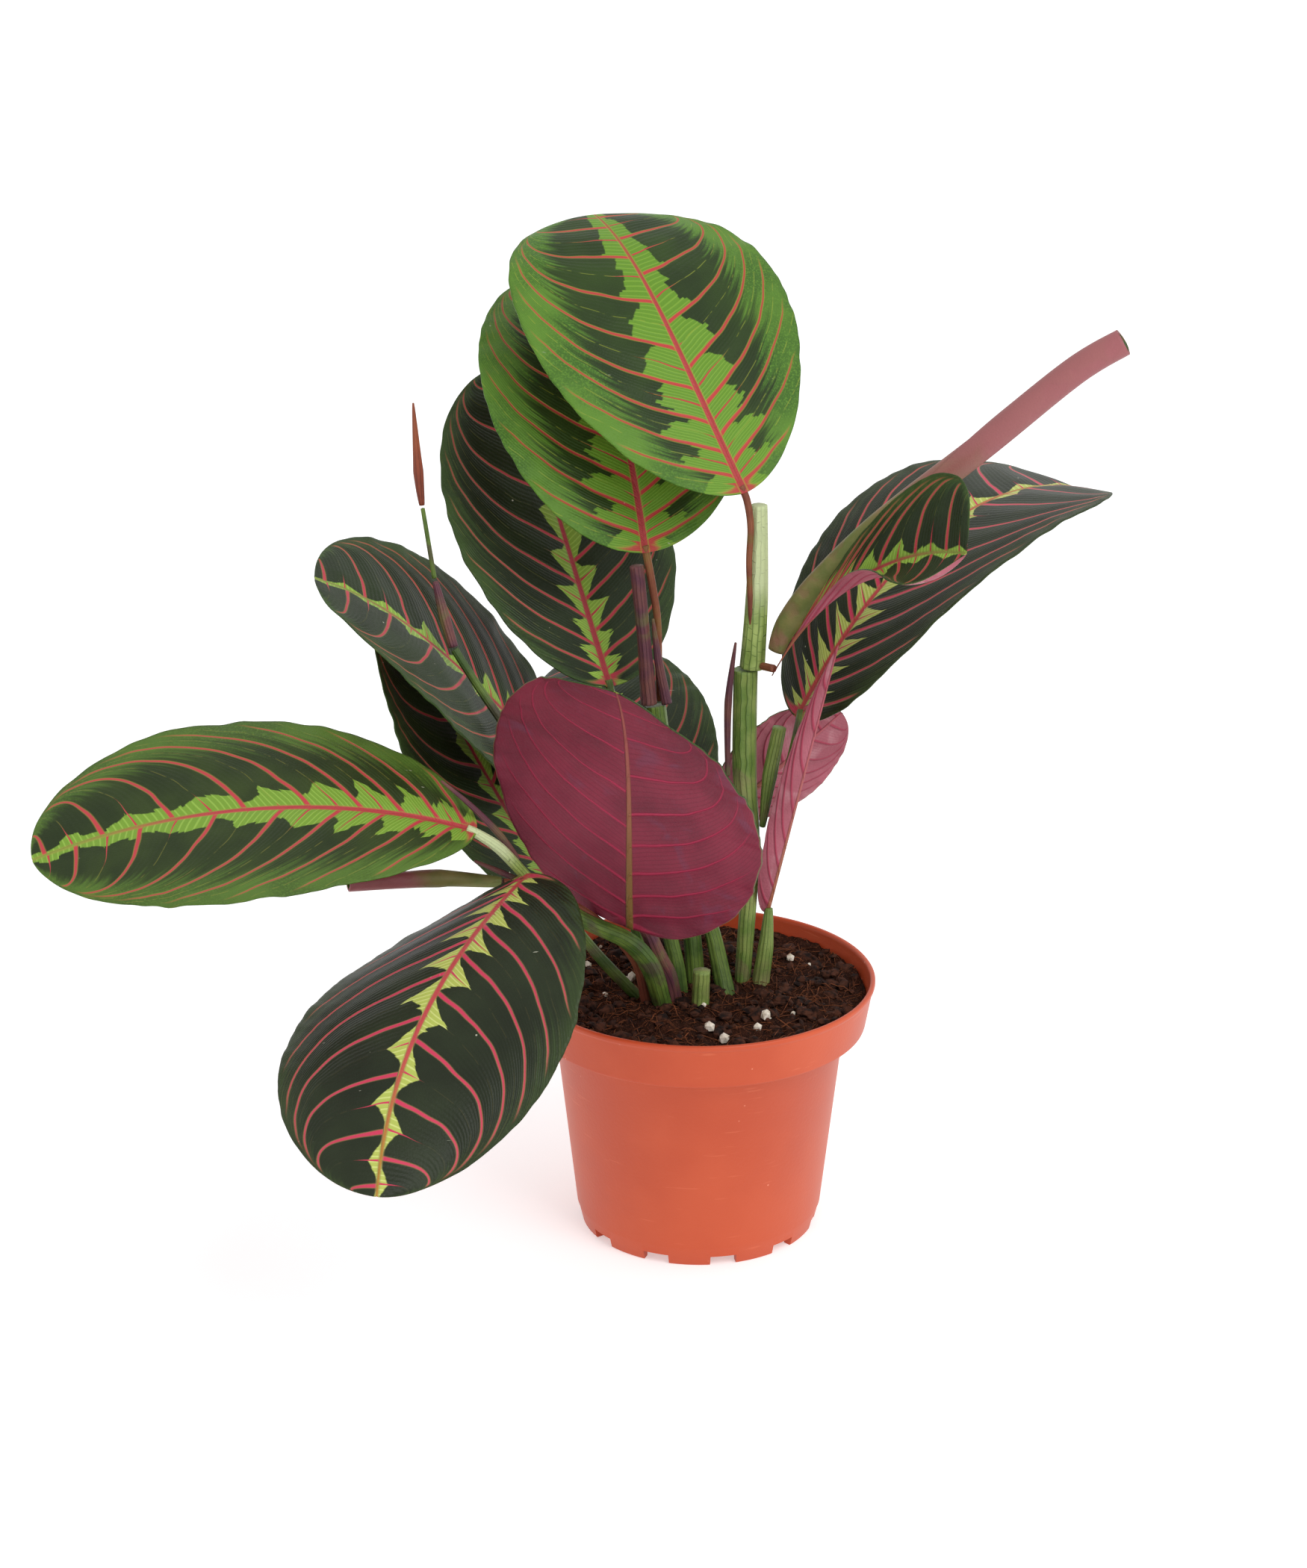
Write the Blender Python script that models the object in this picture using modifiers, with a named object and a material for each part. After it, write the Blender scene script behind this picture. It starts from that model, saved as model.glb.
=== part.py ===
"""Potted prayer plant: a nursery pot, its soil, and stems, sheaths and leaves as separate solids."""

import math
import random

import bmesh
import bpy
from mathutils import Matrix, Vector

MM = 0.001

POT_RIM_R = 60.0
POT_HEIGHT = 90.0
COLLAR_HEIGHT = 16.4
COLLAR_LOW_R = 56.6
BODY_TOP_R = 49.6
BODY_LOW_R = 42.2
FOOT_R = 40.2
FOOT_HEIGHT = 3.5
BASE_BAND = 6.5
WALL = 1.3
FOOT_COUNT = 11
FOOT_GAP = 9.0
DRAIN_HOLES = 6
SOIL_TOP = 85.0
SOIL_RELIEF = 1.4
GAP = 0.3
PLANT_DEPTH = 9.0
LEAF_THICKNESS = 0.8

LEAF_DEFAULTS = dict(
    roll=0.0, arch=0.0, sweep=0.0, twist=0.0, fold=4.0, cup=0.0, hook=1.6, low=0.5, high=0.52, lobe=0.03,
    relax=0.0
)

LEAVES = {
    "leaf_a": dict(base=(12.7, 6, 262.3), length=122, width=94, heading=130, rise=50, roll=-17,
                   arch=48, sweep=-7, twist=4, fold=0, cup=-6, hook=2.4, low=0.56, high=0.42),
    "leaf_b": dict(base=(-18.8, 20, 237.8), length=117, width=89, heading=107, rise=61, roll=-2,
                   arch=51, sweep=5, twist=-4),
    "leaf_c": dict(base=(-31.5, 28, 188), length=121, width=85, heading=116, rise=50, roll=11,
                   arch=4, sweep=-2, twist=-9, fold=3, cup=-4),
    "leaf_d": dict(base=(-50.9, 28, 158.4), length=113, width=87, heading=-153, rise=49.5, roll=-37,
                   arch=32, sweep=6, twist=16.5, hook=3.5, low=0.49, high=0.43),
    "leaf_e": dict(base=(-50.1, 6, 120.2), length=114, width=76, heading=165, rise=58, roll=-13,
                   arch=-6, sweep=-3, twist=2),
    "leaf_f": dict(base=(-76.6, -50, 163.2), length=140, width=80, heading=-177.5, rise=17, roll=-20,
                   arch=28, sweep=25, twist=-5, fold=3, cup=-5, hook=0.85, low=0.56, high=0.56),
    "leaf_g": dict(base=(-58.4, -52, 145.8), length=129, width=96, heading=-126, rise=-20, roll=22,
                   arch=32, sweep=16, twist=-44, fold=-5, cup=-11, hook=1.3, low=0.46, high=0.58),
    "leaf_h": dict(base=(-23.4, -23, 119.7), length=114, width=98, heading=-92, rise=72, roll=-26,
                   arch=30, sweep=8, fold=-5, cup=5, hook=1.95, low=0.46, high=0.53),
    "leaf_i": dict(base=(-11.1, 30, 131.8), length=102, width=70, heading=120, rise=40,
                   arch=40, sweep=-18, twist=-33, cup=-20, hook=1.0),
    "leaf_j": dict(base=(34.2, 13, 182.1), length=139, width=89, heading=15, rise=61, roll=13,
                   arch=76, sweep=14, twist=2, hook=1.4, high=0.38),
    "leaf_l": dict(base=(24.5, -1, 200.5), length=98, width=50, heading=-16, rise=62, roll=60, arch=-14,
                   sweep=-60, fold=0, cup=3, low=1.5, high=0.26, fold_right=30, cup_right=190, relax=0.7),
    "leaf_m": dict(base=(23.8, 8, 112.4), length=103, width=17, heading=-40, rise=74.5, roll=53,
                   twist=-25, fold=5, cup=10, low=0.45, high=0.9, fold_right=50, cup_right=60),
    "leaf_n": dict(base=(9, 23, 140), length=53, width=38, heading=5, rise=42, roll=-70),
}

# Each route is a list of points in millimetres; the radii are spread along it.
STEMS = {
    "cane_a": dict(route=[(15, 8, 85), (17, 8.5, 121), (17, 9, 137), (15, 9, 161), (15, 9, 197)],
                   radii=(2.7, 3.0, 3.3, 4.0, 4.0), planted=True, look="cane"),
    "sheath_a": dict(route=[(17.3, 9, 197.6), (18.6, 9, 222), (19, 9, 254)], radii=(4.2, 3.7, 2.7),
                     look="sheath"),
    "petiole_a": dict(route=[(15.6, 5.4, 236), (16.2, 5.3, 247), (15, 5.8, 256), (12.9, 6, 261.3)],
                      radii=(0.8, 1.1, 1.2, 1.2), look="petiole"),
    "bract_a": dict(route=[(9.3, 7, 160), (9.3, 7, 186), (11.6, 7, 207)], radii=(0.8, 1.3, 0.4),
                    look="bract"),
    "sheath_j": dict(route=[(21.2, 8.4, 141), (23.5, 7.0, 160), (26.6, 7.2, 177)], radii=(1.0, 2.5, 2.3),
                     look="sheath"),
    "petiole_j": dict(route=[(22.0, 7.4, 130), (26.8, 2.4, 154), (31.0, 3.4, 170), (34.0, 12.6, 181.2)],
                      radii=(1.0, 1.3, 1.4, 1.3), look="cane"),
    "pulvinus_l": dict(route=[(20.6, 5.0, 199.4), (24.1, -0.2, 200.3)], radii=(1.3, 1.3), look="petiole"),
    "petiole_m": dict(route=[(21.1, 5.7, 85), (22.8, 6.2, 98), (23.7, 7.7, 111.4)], radii=(3.0, 2.6, 1.3),
                      planted=True, look="cane"),
    "petiole_n": dict(route=[(13.8, 11.8, 132), (10.2, 19, 137), (9.2, 22.2, 139.4)],
                      radii=(1.3, 1.2, 1.1), look="petiole"),
    "cane_b": dict(route=[(-1.1, 5.9, 85), (-3, 9, 105), (-9, 13, 141), (-13, 16, 167), (-15, 18, 181)],
                   radii=(3.2, 3.0, 3.0, 3.2, 3.4), planted=True, look="cane"),
    "sheath_b": dict(route=[(-17.2, 17.2, 181.9), (-19, 18, 206), (-21.3, 19, 230)],
                     radii=(2.8, 2.2, 2.4), look="sheath"),
    "petiole_b": dict(route=[(-13.8, 20.6, 181.9), (-14.2, 20.4, 208), (-16, 20.2, 222),
                             (-18.6, 20, 236.8)],
                      radii=(1.1, 1.2, 1.3, 1.3), look="petiole"),
    "bract_b": dict(route=[(-11.2, 17, 182.2), (-14.0, 17.4, 197), (-15.9, 17.5, 212)],
                    radii=(1.8, 1.4, 0.4), look="bract"),
    "petiole_c": dict(route=[(-6.9, 1.1, 85), (-8.5, 3, 96), (-15, 9, 121), (-24, 18, 155),
                             (-31.1, 27.4, 187)],
                      radii=(2.9, 2.6, 2.2, 1.7, 1.4), planted=True, look="cane"),
    "petiole_d": dict(route=[(-12, 11, 85), (-20, 12, 105), (-32, 14, 125), (-42, 22, 145),
                             (-50.4, 27.6, 157.4)],
                      radii=(2.2, 2.0, 1.7, 1.5, 1.3), planted=True, look="cane"),
    "petiole_e": dict(route=[(-22.1, -4.9, 85), (-31, -5, 95), (-37, -4, 102), (-44, 1, 110),
                             (-49.8, 5.6, 119.4)],
                      radii=(2.0, 2.0, 1.8, 1.5, 1.3), planted=True, look="cane"),
    "cane_f": dict(route=[(-12.7, -13.8, 85), (-16.5, -18, 100), (-24, -23, 112), (-38, -32, 123),
                          (-49, -41.5, 135), (-56.5, -46.5, 144)],
                   radii=(3.2, 3.4, 3.0, 2.6, 2.2, 2.0), planted=True, look="cane"),
    "petiole_f": dict(route=[(-56.8, -46.7, 144.5), (-65, -49, 155), (-71, -50, 160), (-75.9, -50, 162.7)],
                      radii=(1.8, 1.9, 1.6, 1.4), look="sheath"),
    "sheath_f": dict(route=[(-59.6, -44.8, 150), (-66, -44.4, 159), (-75, -46, 169.5), (-84, -47, 178)],
                     radii=(0.8, 1.2, 0.9, 0.4), look="bract"),
    "bract_f": dict(route=[(-57.2, -44.4, 141.5), (-66, -44, 145.5), (-74, -43.5, 149)],
                    radii=(1.0, 0.9, 0.4), look="bract"),
    "pulvinus_g": dict(route=[(-57.0, -49.8, 143.5), (-58.2, -51.5, 145.2)], radii=(1.3, 1.2),
                       look="petiole"),
    "sheath_h": dict(route=[(-9, -8, 85), (-10.8, -9.8, 94), (-13.5, -12.5, 101),
                            (-17.5, -16, 112), (-20.1, -18.8, 117)],
                     radii=(3.0, 2.9, 2.8, 2.4, 1.7), planted=True, look="bract"),
    "pulvinus_h": dict(route=[(-20.9, -19.6, 118),
                              (-22.9, -22.3, 119.3)], radii=(1.5, 1.3), look="petiole"),
    "petiole_i": dict(route=[(8.7, -0.2, 85), (4, 8, 104), (-3, 19, 121), (-10.6, 29.2, 131.2)],
                      radii=(3.2, 2.6, 1.9, 1.3), planted=True, look="cane"),
    "petiole_p": dict(route=[(-18.2, -11.9, 85), (-22, -13, 101), (-34, -18, 117), (-49, -24, 129),
                             (-61, -28, 134.6), (-65.4, -30, 136)],
                      radii=(1.7, 1.7, 1.5, 1.4, 1.3, 1.3), planted=True, look="petiole"),
    "leaf_p": dict(route=[(-66.1, -30.3, 136.2), (-86, -34, 139), (-100, -38, 140), (-115, -44, 141)],
                   radii=(1.6, 2.8, 2.5, 2.3), look="rolled"),
    "leaf_k": dict(route=[(25.0, 4.6, 205), (28.8, 4.4, 214.5), (38.2, 1.2, 228.5), (58, -8, 252),
                          (91, -18, 283), (117, -24, 307), (132, -26, 317)],
                   radii=(2.6, 3.8, 4.3, 4.5, 4.4, 4.3, 4.2), look="rolled"),
    "flower_stalk": dict(route=[(-15.5, 3, 85), (-24, 2, 112), (-38, -1, 140), (-49, -4, 158),
                                (-60, -4, 174),
                                (-72, 0, 191), (-81.7, 3.8, 205.6)],
                         radii=(1.9, 1.8, 1.7, 1.6, 1.5, 1.4, 1.3), planted=True, look="cane"),
    "bract_lower": dict(route=[(-82, 4, 206.2), (-85, 7, 216), (-88, 10, 227.5)],
                        radii=(1.6, 1.9, 0.9), look="bract"),
    "flower_stalk_top": dict(route=[(-88.2, 10.2, 228.2), (-92, 15.8, 251)], radii=(0.8, 0.7), look="cane"),
    "bract_upper": dict(route=[(-92.2, 16, 251.8), (-93.2, 17, 263), (-94.6, 20, 285.5)],
                        radii=(0.9, 1.7, 0.3), look="bract"),
    "cut_stub": dict(route=[(0.2, -14.4, 85), (0.6, -14.4, 98)], radii=(2.9, 2.9), planted=True,
                     look="cane"),
}

LOOKS = {
    "pot": ((0.68, 0.11, 0.045), 0.45),
    "soil": ((0.03, 0.018, 0.012), 0.95),
    "leaf": ((0.05, 0.13, 0.03), 0.4),
    "underside": ((0.18, 0.02, 0.05), 0.45),
    "rolled": ((0.25, 0.11, 0.08), 0.45),
    "cane": ((0.12, 0.2, 0.05), 0.5),
    "sheath": ((0.3, 0.42, 0.15), 0.5),
    "petiole": ((0.3, 0.1, 0.05), 0.5),
    "bract": ((0.15, 0.04, 0.07), 0.5),
}


def clear_scene():
    for obj in list(bpy.data.objects):
        bpy.data.objects.remove(obj, do_unlink=True)


def material(name):
    made = bpy.data.materials.get(name)
    if made:
        return made
    color, roughness = LOOKS[name]
    made = bpy.data.materials.new(name)
    made.use_nodes = True
    shader = made.node_tree.nodes["Principled BSDF"]
    shader.inputs["Base Color"].default_value = (*color, 1)
    shader.inputs["Roughness"].default_value = roughness
    return made


def add_mesh(name, mesh, look, collection):
    obj = bpy.data.objects.new(name, mesh)
    collection.objects.link(obj)
    obj.data.materials.append(material(look))
    return obj


def helper(obj, helpers):
    for owner in list(obj.users_collection):
        owner.objects.unlink(obj)
    helpers.objects.link(obj)
    obj.hide_render = True
    obj.display_type = "WIRE"
    return obj


def cut(obj, cutter):
    boolean = obj.modifiers.new("cut " + cutter.name, "BOOLEAN")
    boolean.operation = "DIFFERENCE"
    boolean.solver = "EXACT"
    boolean.object = cutter


def lathe(name, profile, steps, look, collection):
    """A closed profile of (radius, height) in millimetres, top to bottom on its outer side, spun round Z."""
    mesh = bpy.data.meshes.new(name)
    points = [(radius * MM, 0, height * MM) for radius, height in profile]
    edges = [(i, i + 1) for i in range(len(points) - 1)]
    if profile[0][0] > 0:
        edges.append((len(points) - 1, 0))
    mesh.from_pydata(points, edges, [])
    obj = add_mesh(name, mesh, look, collection)
    screw = obj.modifiers.new("spin", "SCREW")
    screw.steps = steps
    screw.render_steps = steps
    screw.use_merge_vertices = True
    screw.merge_threshold = 0.00005
    return obj


def build_pot(collection, helpers):
    collar_z = POT_HEIGHT - COLLAR_HEIGHT
    floor_z = FOOT_HEIGHT + 1.5
    profile = [
        (POT_RIM_R - 0.7, POT_HEIGHT),
        (POT_RIM_R, POT_HEIGHT - 0.7),
        (POT_RIM_R - 0.4, POT_HEIGHT - 2.4),
        (COLLAR_LOW_R, collar_z),
        (BODY_TOP_R, collar_z - 0.6),
        (BODY_LOW_R, BASE_BAND),
        (FOOT_R, 0),
        (FOOT_R - 2.6, 0),
        (FOOT_R - 2.8, FOOT_HEIGHT),
        (8, FOOT_HEIGHT),
        (8, floor_z),
        (FOOT_R - 0.6, floor_z),
        (BODY_TOP_R - WALL, collar_z + 0.6),
        (COLLAR_LOW_R - WALL, collar_z + 1.4),
        (POT_RIM_R - 1.9, POT_HEIGHT - 1.5),
        (POT_RIM_R - 1.5, POT_HEIGHT),
    ]
    pot = lathe("pot", profile, 66, "pot", collection)
    for i in range(FOOT_COUNT):
        angle = math.radians(-95 + 360 / FOOT_COUNT * (i + 0.5))
        bpy.ops.mesh.primitive_cube_add(size=1)
        gap = helper(bpy.context.object, helpers)
        gap.name = f"foot_gap_{i}"
        gap.scale = (9 * MM, FOOT_GAP * MM, FOOT_HEIGHT * 2 * MM)
        gap.location = (FOOT_R * MM * math.cos(angle), FOOT_R * MM * math.sin(angle), -0.05 * MM)
        gap.rotation_euler = (0, 0, angle)
        cut(pot, gap)
    for i in range(DRAIN_HOLES):
        angle = math.radians(360 / DRAIN_HOLES * i)
        bpy.ops.mesh.primitive_cylinder_add(vertices=16, radius=4 * MM, depth=8 * MM)
        hole = helper(bpy.context.object, helpers)
        hole.name = f"drain_{i}"
        hole.location = (24 * MM * math.cos(angle), 24 * MM * math.sin(angle), 4.2 * MM)
        cut(pot, hole)
    return pot


def inner_radius(height):
    """The pot's inner wall radius at a height."""
    collar_z = POT_HEIGHT - COLLAR_HEIGHT
    if height < collar_z + 0.6:
        t = (height - FOOT_HEIGHT - 1.5) / (collar_z + 0.6 - FOOT_HEIGHT - 1.5)
        return FOOT_R - 0.6 + t * (BODY_TOP_R - WALL - FOOT_R + 0.6)
    t = (height - collar_z - 1.4) / (POT_HEIGHT - 1.5 - collar_z - 1.4)
    return COLLAR_LOW_R - WALL + t * (POT_RIM_R - 1.9 - COLLAR_LOW_R + WALL)


def build_soil(collection, helpers):
    """One closed body: a wall just inside the pot and an uneven top of rings."""
    rng = random.Random(7)
    bm = bmesh.new()
    sides = 40
    floor_z = FOOT_HEIGHT + 1.5 + GAP
    ledge_z = POT_HEIGHT - COLLAR_HEIGHT + 1.4 + GAP

    def ring(radius, height, relief=0.0):
        made = []
        for i in range(sides):
            turn = 2 * math.pi * i / sides
            z = height + rng.uniform(-relief, relief)
            made.append(bm.verts.new((radius * MM * math.cos(turn), radius * MM * math.sin(turn), z * MM)))
        return made

    rings = [ring(inner_radius(floor_z) - GAP, floor_z)]
    rings.append(ring(inner_radius(ledge_z - 2.0) - GAP, ledge_z - 1.0))
    rings.append(ring(inner_radius(ledge_z - 2.0) - GAP, ledge_z))
    rings.append(ring(inner_radius(ledge_z) - 1.2, ledge_z + 0.2))
    rings.append(ring(inner_radius(SOIL_TOP - 2) - GAP, SOIL_TOP - 1.6))
    for radius in (52, 44, 36, 28, 20, 11):
        rings.append(ring(radius, SOIL_TOP, SOIL_RELIEF * 0.5))
    for lower, upper in zip(rings, rings[1:]):
        for i in range(sides):
            j = (i + 1) % sides
            bm.faces.new((lower[i], lower[j], upper[j], upper[i]))
    bm.faces.new(list(reversed(rings[0])))
    top = bm.verts.new((0, 0, SOIL_TOP * MM))
    for i in range(sides):
        bm.faces.new((rings[-1][i], rings[-1][(i + 1) % sides], top))
    bmesh.ops.recalc_face_normals(bm, faces=bm.faces)
    mesh = bpy.data.meshes.new("soil")
    bm.to_mesh(mesh)
    bm.free()
    soil = add_mesh("soil", mesh, "soil", collection)
    for name, stem in STEMS.items():
        if not stem.get("planted"):
            continue
        first, second = (Vector(point) for point in stem["route"][:2])
        along = (second - first).normalized()
        low = first - along * (PLANT_DEPTH + GAP)
        high = first + along * 5
        bpy.ops.mesh.primitive_cylinder_add(vertices=12, radius=(stem["radii"][0] + GAP) * MM,
                                            depth=(high - low).length * MM)
        socket = helper(bpy.context.object, helpers)
        socket.name = "socket_" + name
        socket.location = (low + high) * 0.5 * MM
        socket.rotation_euler = along.to_track_quat("Z", "Y").to_euler()
        cut(soil, socket)
    return soil


def smooth_route(route, radii, steps=3):
    """Catmull-Rom points and radii along a route."""
    points = [Vector(point) for point in route]
    made = []
    for i in range(len(points) - 1):
        before = points[max(i - 1, 0)]
        after = points[min(i + 2, len(points) - 1)]
        start, end = points[i], points[i + 1]
        for k in range(steps):
            t = k / steps
            place = 0.5 * (
                2 * start
                + (end - before) * t
                + (2 * before - 5 * start + 4 * end - after) * t * t
                + (3 * start - before - 3 * end + after) * t ** 3
            )
            made.append((place, radii[i] + (radii[i + 1] - radii[i]) * t))
    made.append((points[-1], radii[-1]))
    return made


def build_stem(name, stem, collection):
    route = [Vector(point) for point in stem["route"]]
    radii = list(stem["radii"])
    if stem.get("planted"):
        along = (route[1] - route[0]).normalized()
        route.insert(0, route[0] - along * PLANT_DEPTH)
        radii.insert(0, radii[0])
    steps = 1 if len(route) == 2 else 2
    path = smooth_route(route, radii, steps)
    curve = bpy.data.curves.new(name, "CURVE")
    curve.dimensions = "3D"
    curve.bevel_depth = MM
    curve.bevel_resolution = 2
    curve.use_fill_caps = True
    spline = curve.splines.new("POLY")
    spline.points.add(len(path) - 1)
    for point, (place, radius) in zip(spline.points, path):
        point.co = (*(place * MM), 1)
        point.radius = radius
    return add_mesh(name, curve, stem["look"], collection)


def half_width(u, leaf):
    peak = leaf["low"] / (leaf["low"] + leaf["high"])
    top = peak ** leaf["low"] * (1 - peak) ** leaf["high"]
    return 0.5 * leaf["width"] * u ** leaf["low"] * (1 - u) ** leaf["high"] / top


def across(x, fold, cup):
    """Sideways and upward reach of a blade half that leaves at an angle and keeps turning."""
    if abs(cup) < 1e-3:
        return x * math.cos(fold), x * math.sin(fold)
    end = fold + cup * x
    return (math.sin(end) - math.sin(fold)) / cup, (math.cos(fold) - math.cos(end)) / cup


def leaf_frames(leaf, rows):
    """Midrib points and the blade's turning frame at each row."""
    start = (
        Matrix.Rotation(math.radians(leaf["heading"]), 3, "Z")
        @ Matrix.Rotation(-math.radians(leaf["rise"]), 3, "Y")
        @ Matrix.Rotation(math.radians(leaf["roll"]), 3, "X")
    )
    fine = 64
    place = Vector(leaf["base"])
    found = []
    wanted = list(rows)
    for i in range(fine + 1):
        u = i / fine
        frame = (
            start
            @ Matrix.Rotation(math.radians(leaf["sweep"] * u), 3, "Z")
            @ Matrix.Rotation(math.radians(leaf["arch"] * u ** leaf["hook"]), 3, "Y")
            @ Matrix.Rotation(math.radians(leaf["twist"] * u), 3, "X")
        )
        if wanted and u >= wanted[0] - 1e-6:
            found.append((wanted.pop(0), place.copy(), frame))
        place += frame @ Vector((leaf["length"] / fine, 0, 0))
    return found


def build_leaf(name, given, collection):
    leaf = {**LEAF_DEFAULTS, **given}
    rows = [i / 64 for i in (0, 2, 7, 15, 24, 34, 44, 53, 60, 64)]
    columns = [-1, -0.66, -0.33, 0, 0.33, 0.66, 1]
    if "cup_right" in leaf:
        columns = [-1, -0.85, -0.7, -0.55, -0.4, -0.25, -0.12, 0, 0.33, 0.66, 1]
    bm = bmesh.new()
    grid = []
    for u, place, frame in leaf_frames(leaf, rows):
        reach = half_width(u, leaf)
        if u in (0, 1):
            grid.append([bm.verts.new(place * MM)] * len(columns))
            continue
        row = []
        for v in columns:
            fold = math.radians(leaf["fold"] if v >= 0 else leaf.get("fold_right", leaf["fold"]))
            cup = math.radians(leaf["cup"] if v >= 0 else leaf.get("cup_right", leaf["cup"]))
            cup *= 1 - leaf["relax"] * u
            side, up = across(abs(v), fold, cup)
            back = -leaf["lobe"] * leaf["length"] * v * v * (1 - u) ** 6
            offset = Vector((back, math.copysign(side, v) * reach if v else 0, up * reach))
            row.append(bm.verts.new((place + frame @ offset) * MM))
        grid.append(row)
    for lower, upper in zip(grid, grid[1:]):
        for j in range(len(columns) - 1):
            corners = []
            for vert in (lower[j], upper[j], upper[j + 1], lower[j + 1]):
                if vert not in corners:
                    corners.append(vert)
            bm.faces.new(corners)
    mesh = bpy.data.meshes.new(name)
    bm.to_mesh(mesh)
    bm.free()
    look = "underside" if name in ("leaf_h", "leaf_n") else "leaf"
    obj = add_mesh(name, mesh, look, collection)
    solid = obj.modifiers.new("thickness", "SOLIDIFY")
    solid.thickness = LEAF_THICKNESS * MM
    solid.offset = 0
    return obj


def centre(collection):
    """Slides the whole model so that the middle of its box is over the origin."""
    bpy.context.view_layer.update()
    graph = bpy.context.evaluated_depsgraph_get()
    low, high = [1e9, 1e9], [-1e9, -1e9]
    for obj in collection.objects:
        shape = obj.evaluated_get(graph)
        mesh = shape.to_mesh()
        for vert in mesh.vertices:
            place = obj.matrix_world @ vert.co
            for k in (0, 1):
                low[k] = min(low[k], place[k])
                high[k] = max(high[k], place[k])
        shape.to_mesh_clear()
    shift = Vector((-(low[0] + high[0]) / 2, -(low[1] + high[1]) / 2, 0))
    for obj in bpy.data.objects:
        obj.location += shift
    print("moved by", [round(value / MM, 2) for value in shift], "mm")


def main():
    clear_scene()
    plant = bpy.data.collections.new("potted_prayer_plant")
    helpers = bpy.data.collections.new("cutters")
    helpers.hide_render = True
    bpy.context.scene.collection.children.link(plant)
    bpy.context.scene.collection.children.link(helpers)
    build_pot(plant, helpers)
    build_soil(plant, helpers)
    for name, stem in STEMS.items():
        build_stem(name, stem, plant)
    for name, leaf in LEAVES.items():
        build_leaf(name, leaf, plant)
    centre(plant)


main()
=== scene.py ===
# Potted red-veined prayer plant in a plastic nursery pot. Lengths in the dictionaries are millimetres.
import math
import random

import bmesh
import bpy
from mathutils import Matrix, Vector, noise


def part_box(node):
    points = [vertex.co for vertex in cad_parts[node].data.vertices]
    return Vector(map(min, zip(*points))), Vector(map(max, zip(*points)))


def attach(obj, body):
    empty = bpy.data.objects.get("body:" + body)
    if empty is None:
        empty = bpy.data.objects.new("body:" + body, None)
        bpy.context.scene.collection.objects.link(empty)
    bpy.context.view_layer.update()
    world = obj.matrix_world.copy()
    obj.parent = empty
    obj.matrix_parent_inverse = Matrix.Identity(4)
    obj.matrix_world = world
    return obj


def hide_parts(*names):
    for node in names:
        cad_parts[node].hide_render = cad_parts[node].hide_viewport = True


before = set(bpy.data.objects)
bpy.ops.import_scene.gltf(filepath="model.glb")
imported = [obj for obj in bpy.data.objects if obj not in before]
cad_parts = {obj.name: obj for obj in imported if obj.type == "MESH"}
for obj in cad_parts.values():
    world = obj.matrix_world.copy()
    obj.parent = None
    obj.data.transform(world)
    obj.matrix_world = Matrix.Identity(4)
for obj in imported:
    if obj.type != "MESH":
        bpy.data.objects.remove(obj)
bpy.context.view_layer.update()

mm = 0.001
potLow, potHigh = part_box("pot")
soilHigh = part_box("soil")[1].z
potAxis = Vector(((potLow.x + potHigh.x) / 2, (potLow.y + potHigh.y) / 2, 0))
print("frame loaded, pot axis at", [round(value, 4) for value in potAxis])

cameraSetup = dict(place=(-15.7, -1172.4, 595.7), tilt=69.59, lens=85.714, sensor=36)
camera = bpy.data.objects.new("camera", bpy.data.cameras.new("camera"))
bpy.context.scene.collection.objects.link(camera)
camera.location = potAxis + Vector(cameraSetup["place"]) * mm
camera.rotation_euler = (math.radians(cameraSetup["tilt"]), 0, 0)
camera.data.lens = cameraSetup["lens"]
camera.data.sensor_width = cameraSetup["sensor"]
camera.data.clip_start = 0.01
bpy.context.scene.camera = camera


def hexColor(code):
    made = []
    for i in (0, 2, 4):
        value = int(code[i:i + 2], 16) / 255
        made.append(value / 12.92 if value <= 0.04045 else ((value + 0.055) / 1.055) ** 2.4)
    return (*made, 1.0)


def addNode(tree, kind, links=None, **settings):
    node = tree.nodes.new("ShaderNode" + kind)
    for name, value in settings.items():
        setattr(node, name, value)
    for key, value in (links or {}).items():
        if isinstance(value, bpy.types.NodeSocket):
            tree.links.new(value, node.inputs[key])
        else:
            node.inputs[key].default_value = value
    return node.outputs


def newMaterial(name, roughness, mirror=0.5):
    made = bpy.data.materials.new(name)
    made.use_nodes = True
    tree = made.node_tree
    shader = tree.nodes["Principled BSDF"]
    shader.inputs["Roughness"].default_value = roughness
    shader.inputs["Specular IOR Level"].default_value = mirror
    return made, tree, shader


def finishShader(tree, shader, color, bump, gloss=None):
    tree.links.new(color, shader.inputs["Base Color"])
    tree.links.new(bump, shader.inputs["Normal"])
    if gloss:
        tree.links.new(gloss, shader.inputs["Roughness"])


def addPiece(name, bm, materials, replaced, wall=None, smooth=True):
    mesh = bpy.data.meshes.new(name)
    bm.to_mesh(mesh)
    bm.free()
    for made in materials:
        mesh.materials.append(made)
    piece = bpy.data.objects.new(name, mesh)
    bpy.context.scene.collection.objects.link(piece)
    if smooth:
        mesh.shade_smooth()
    if wall:
        solid = piece.modifiers.new("wall", "SOLIDIFY")
        solid.thickness = wall["thickness"] * mm
        solid.offset = wall.get("offset", 0)
        solid.material_offset = wall.get("inside", 0)
        solid.material_offset_rim = wall.get("rim", 0)
    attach(piece, "root")
    if replaced:
        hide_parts(*replaced)
    return piece


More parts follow.
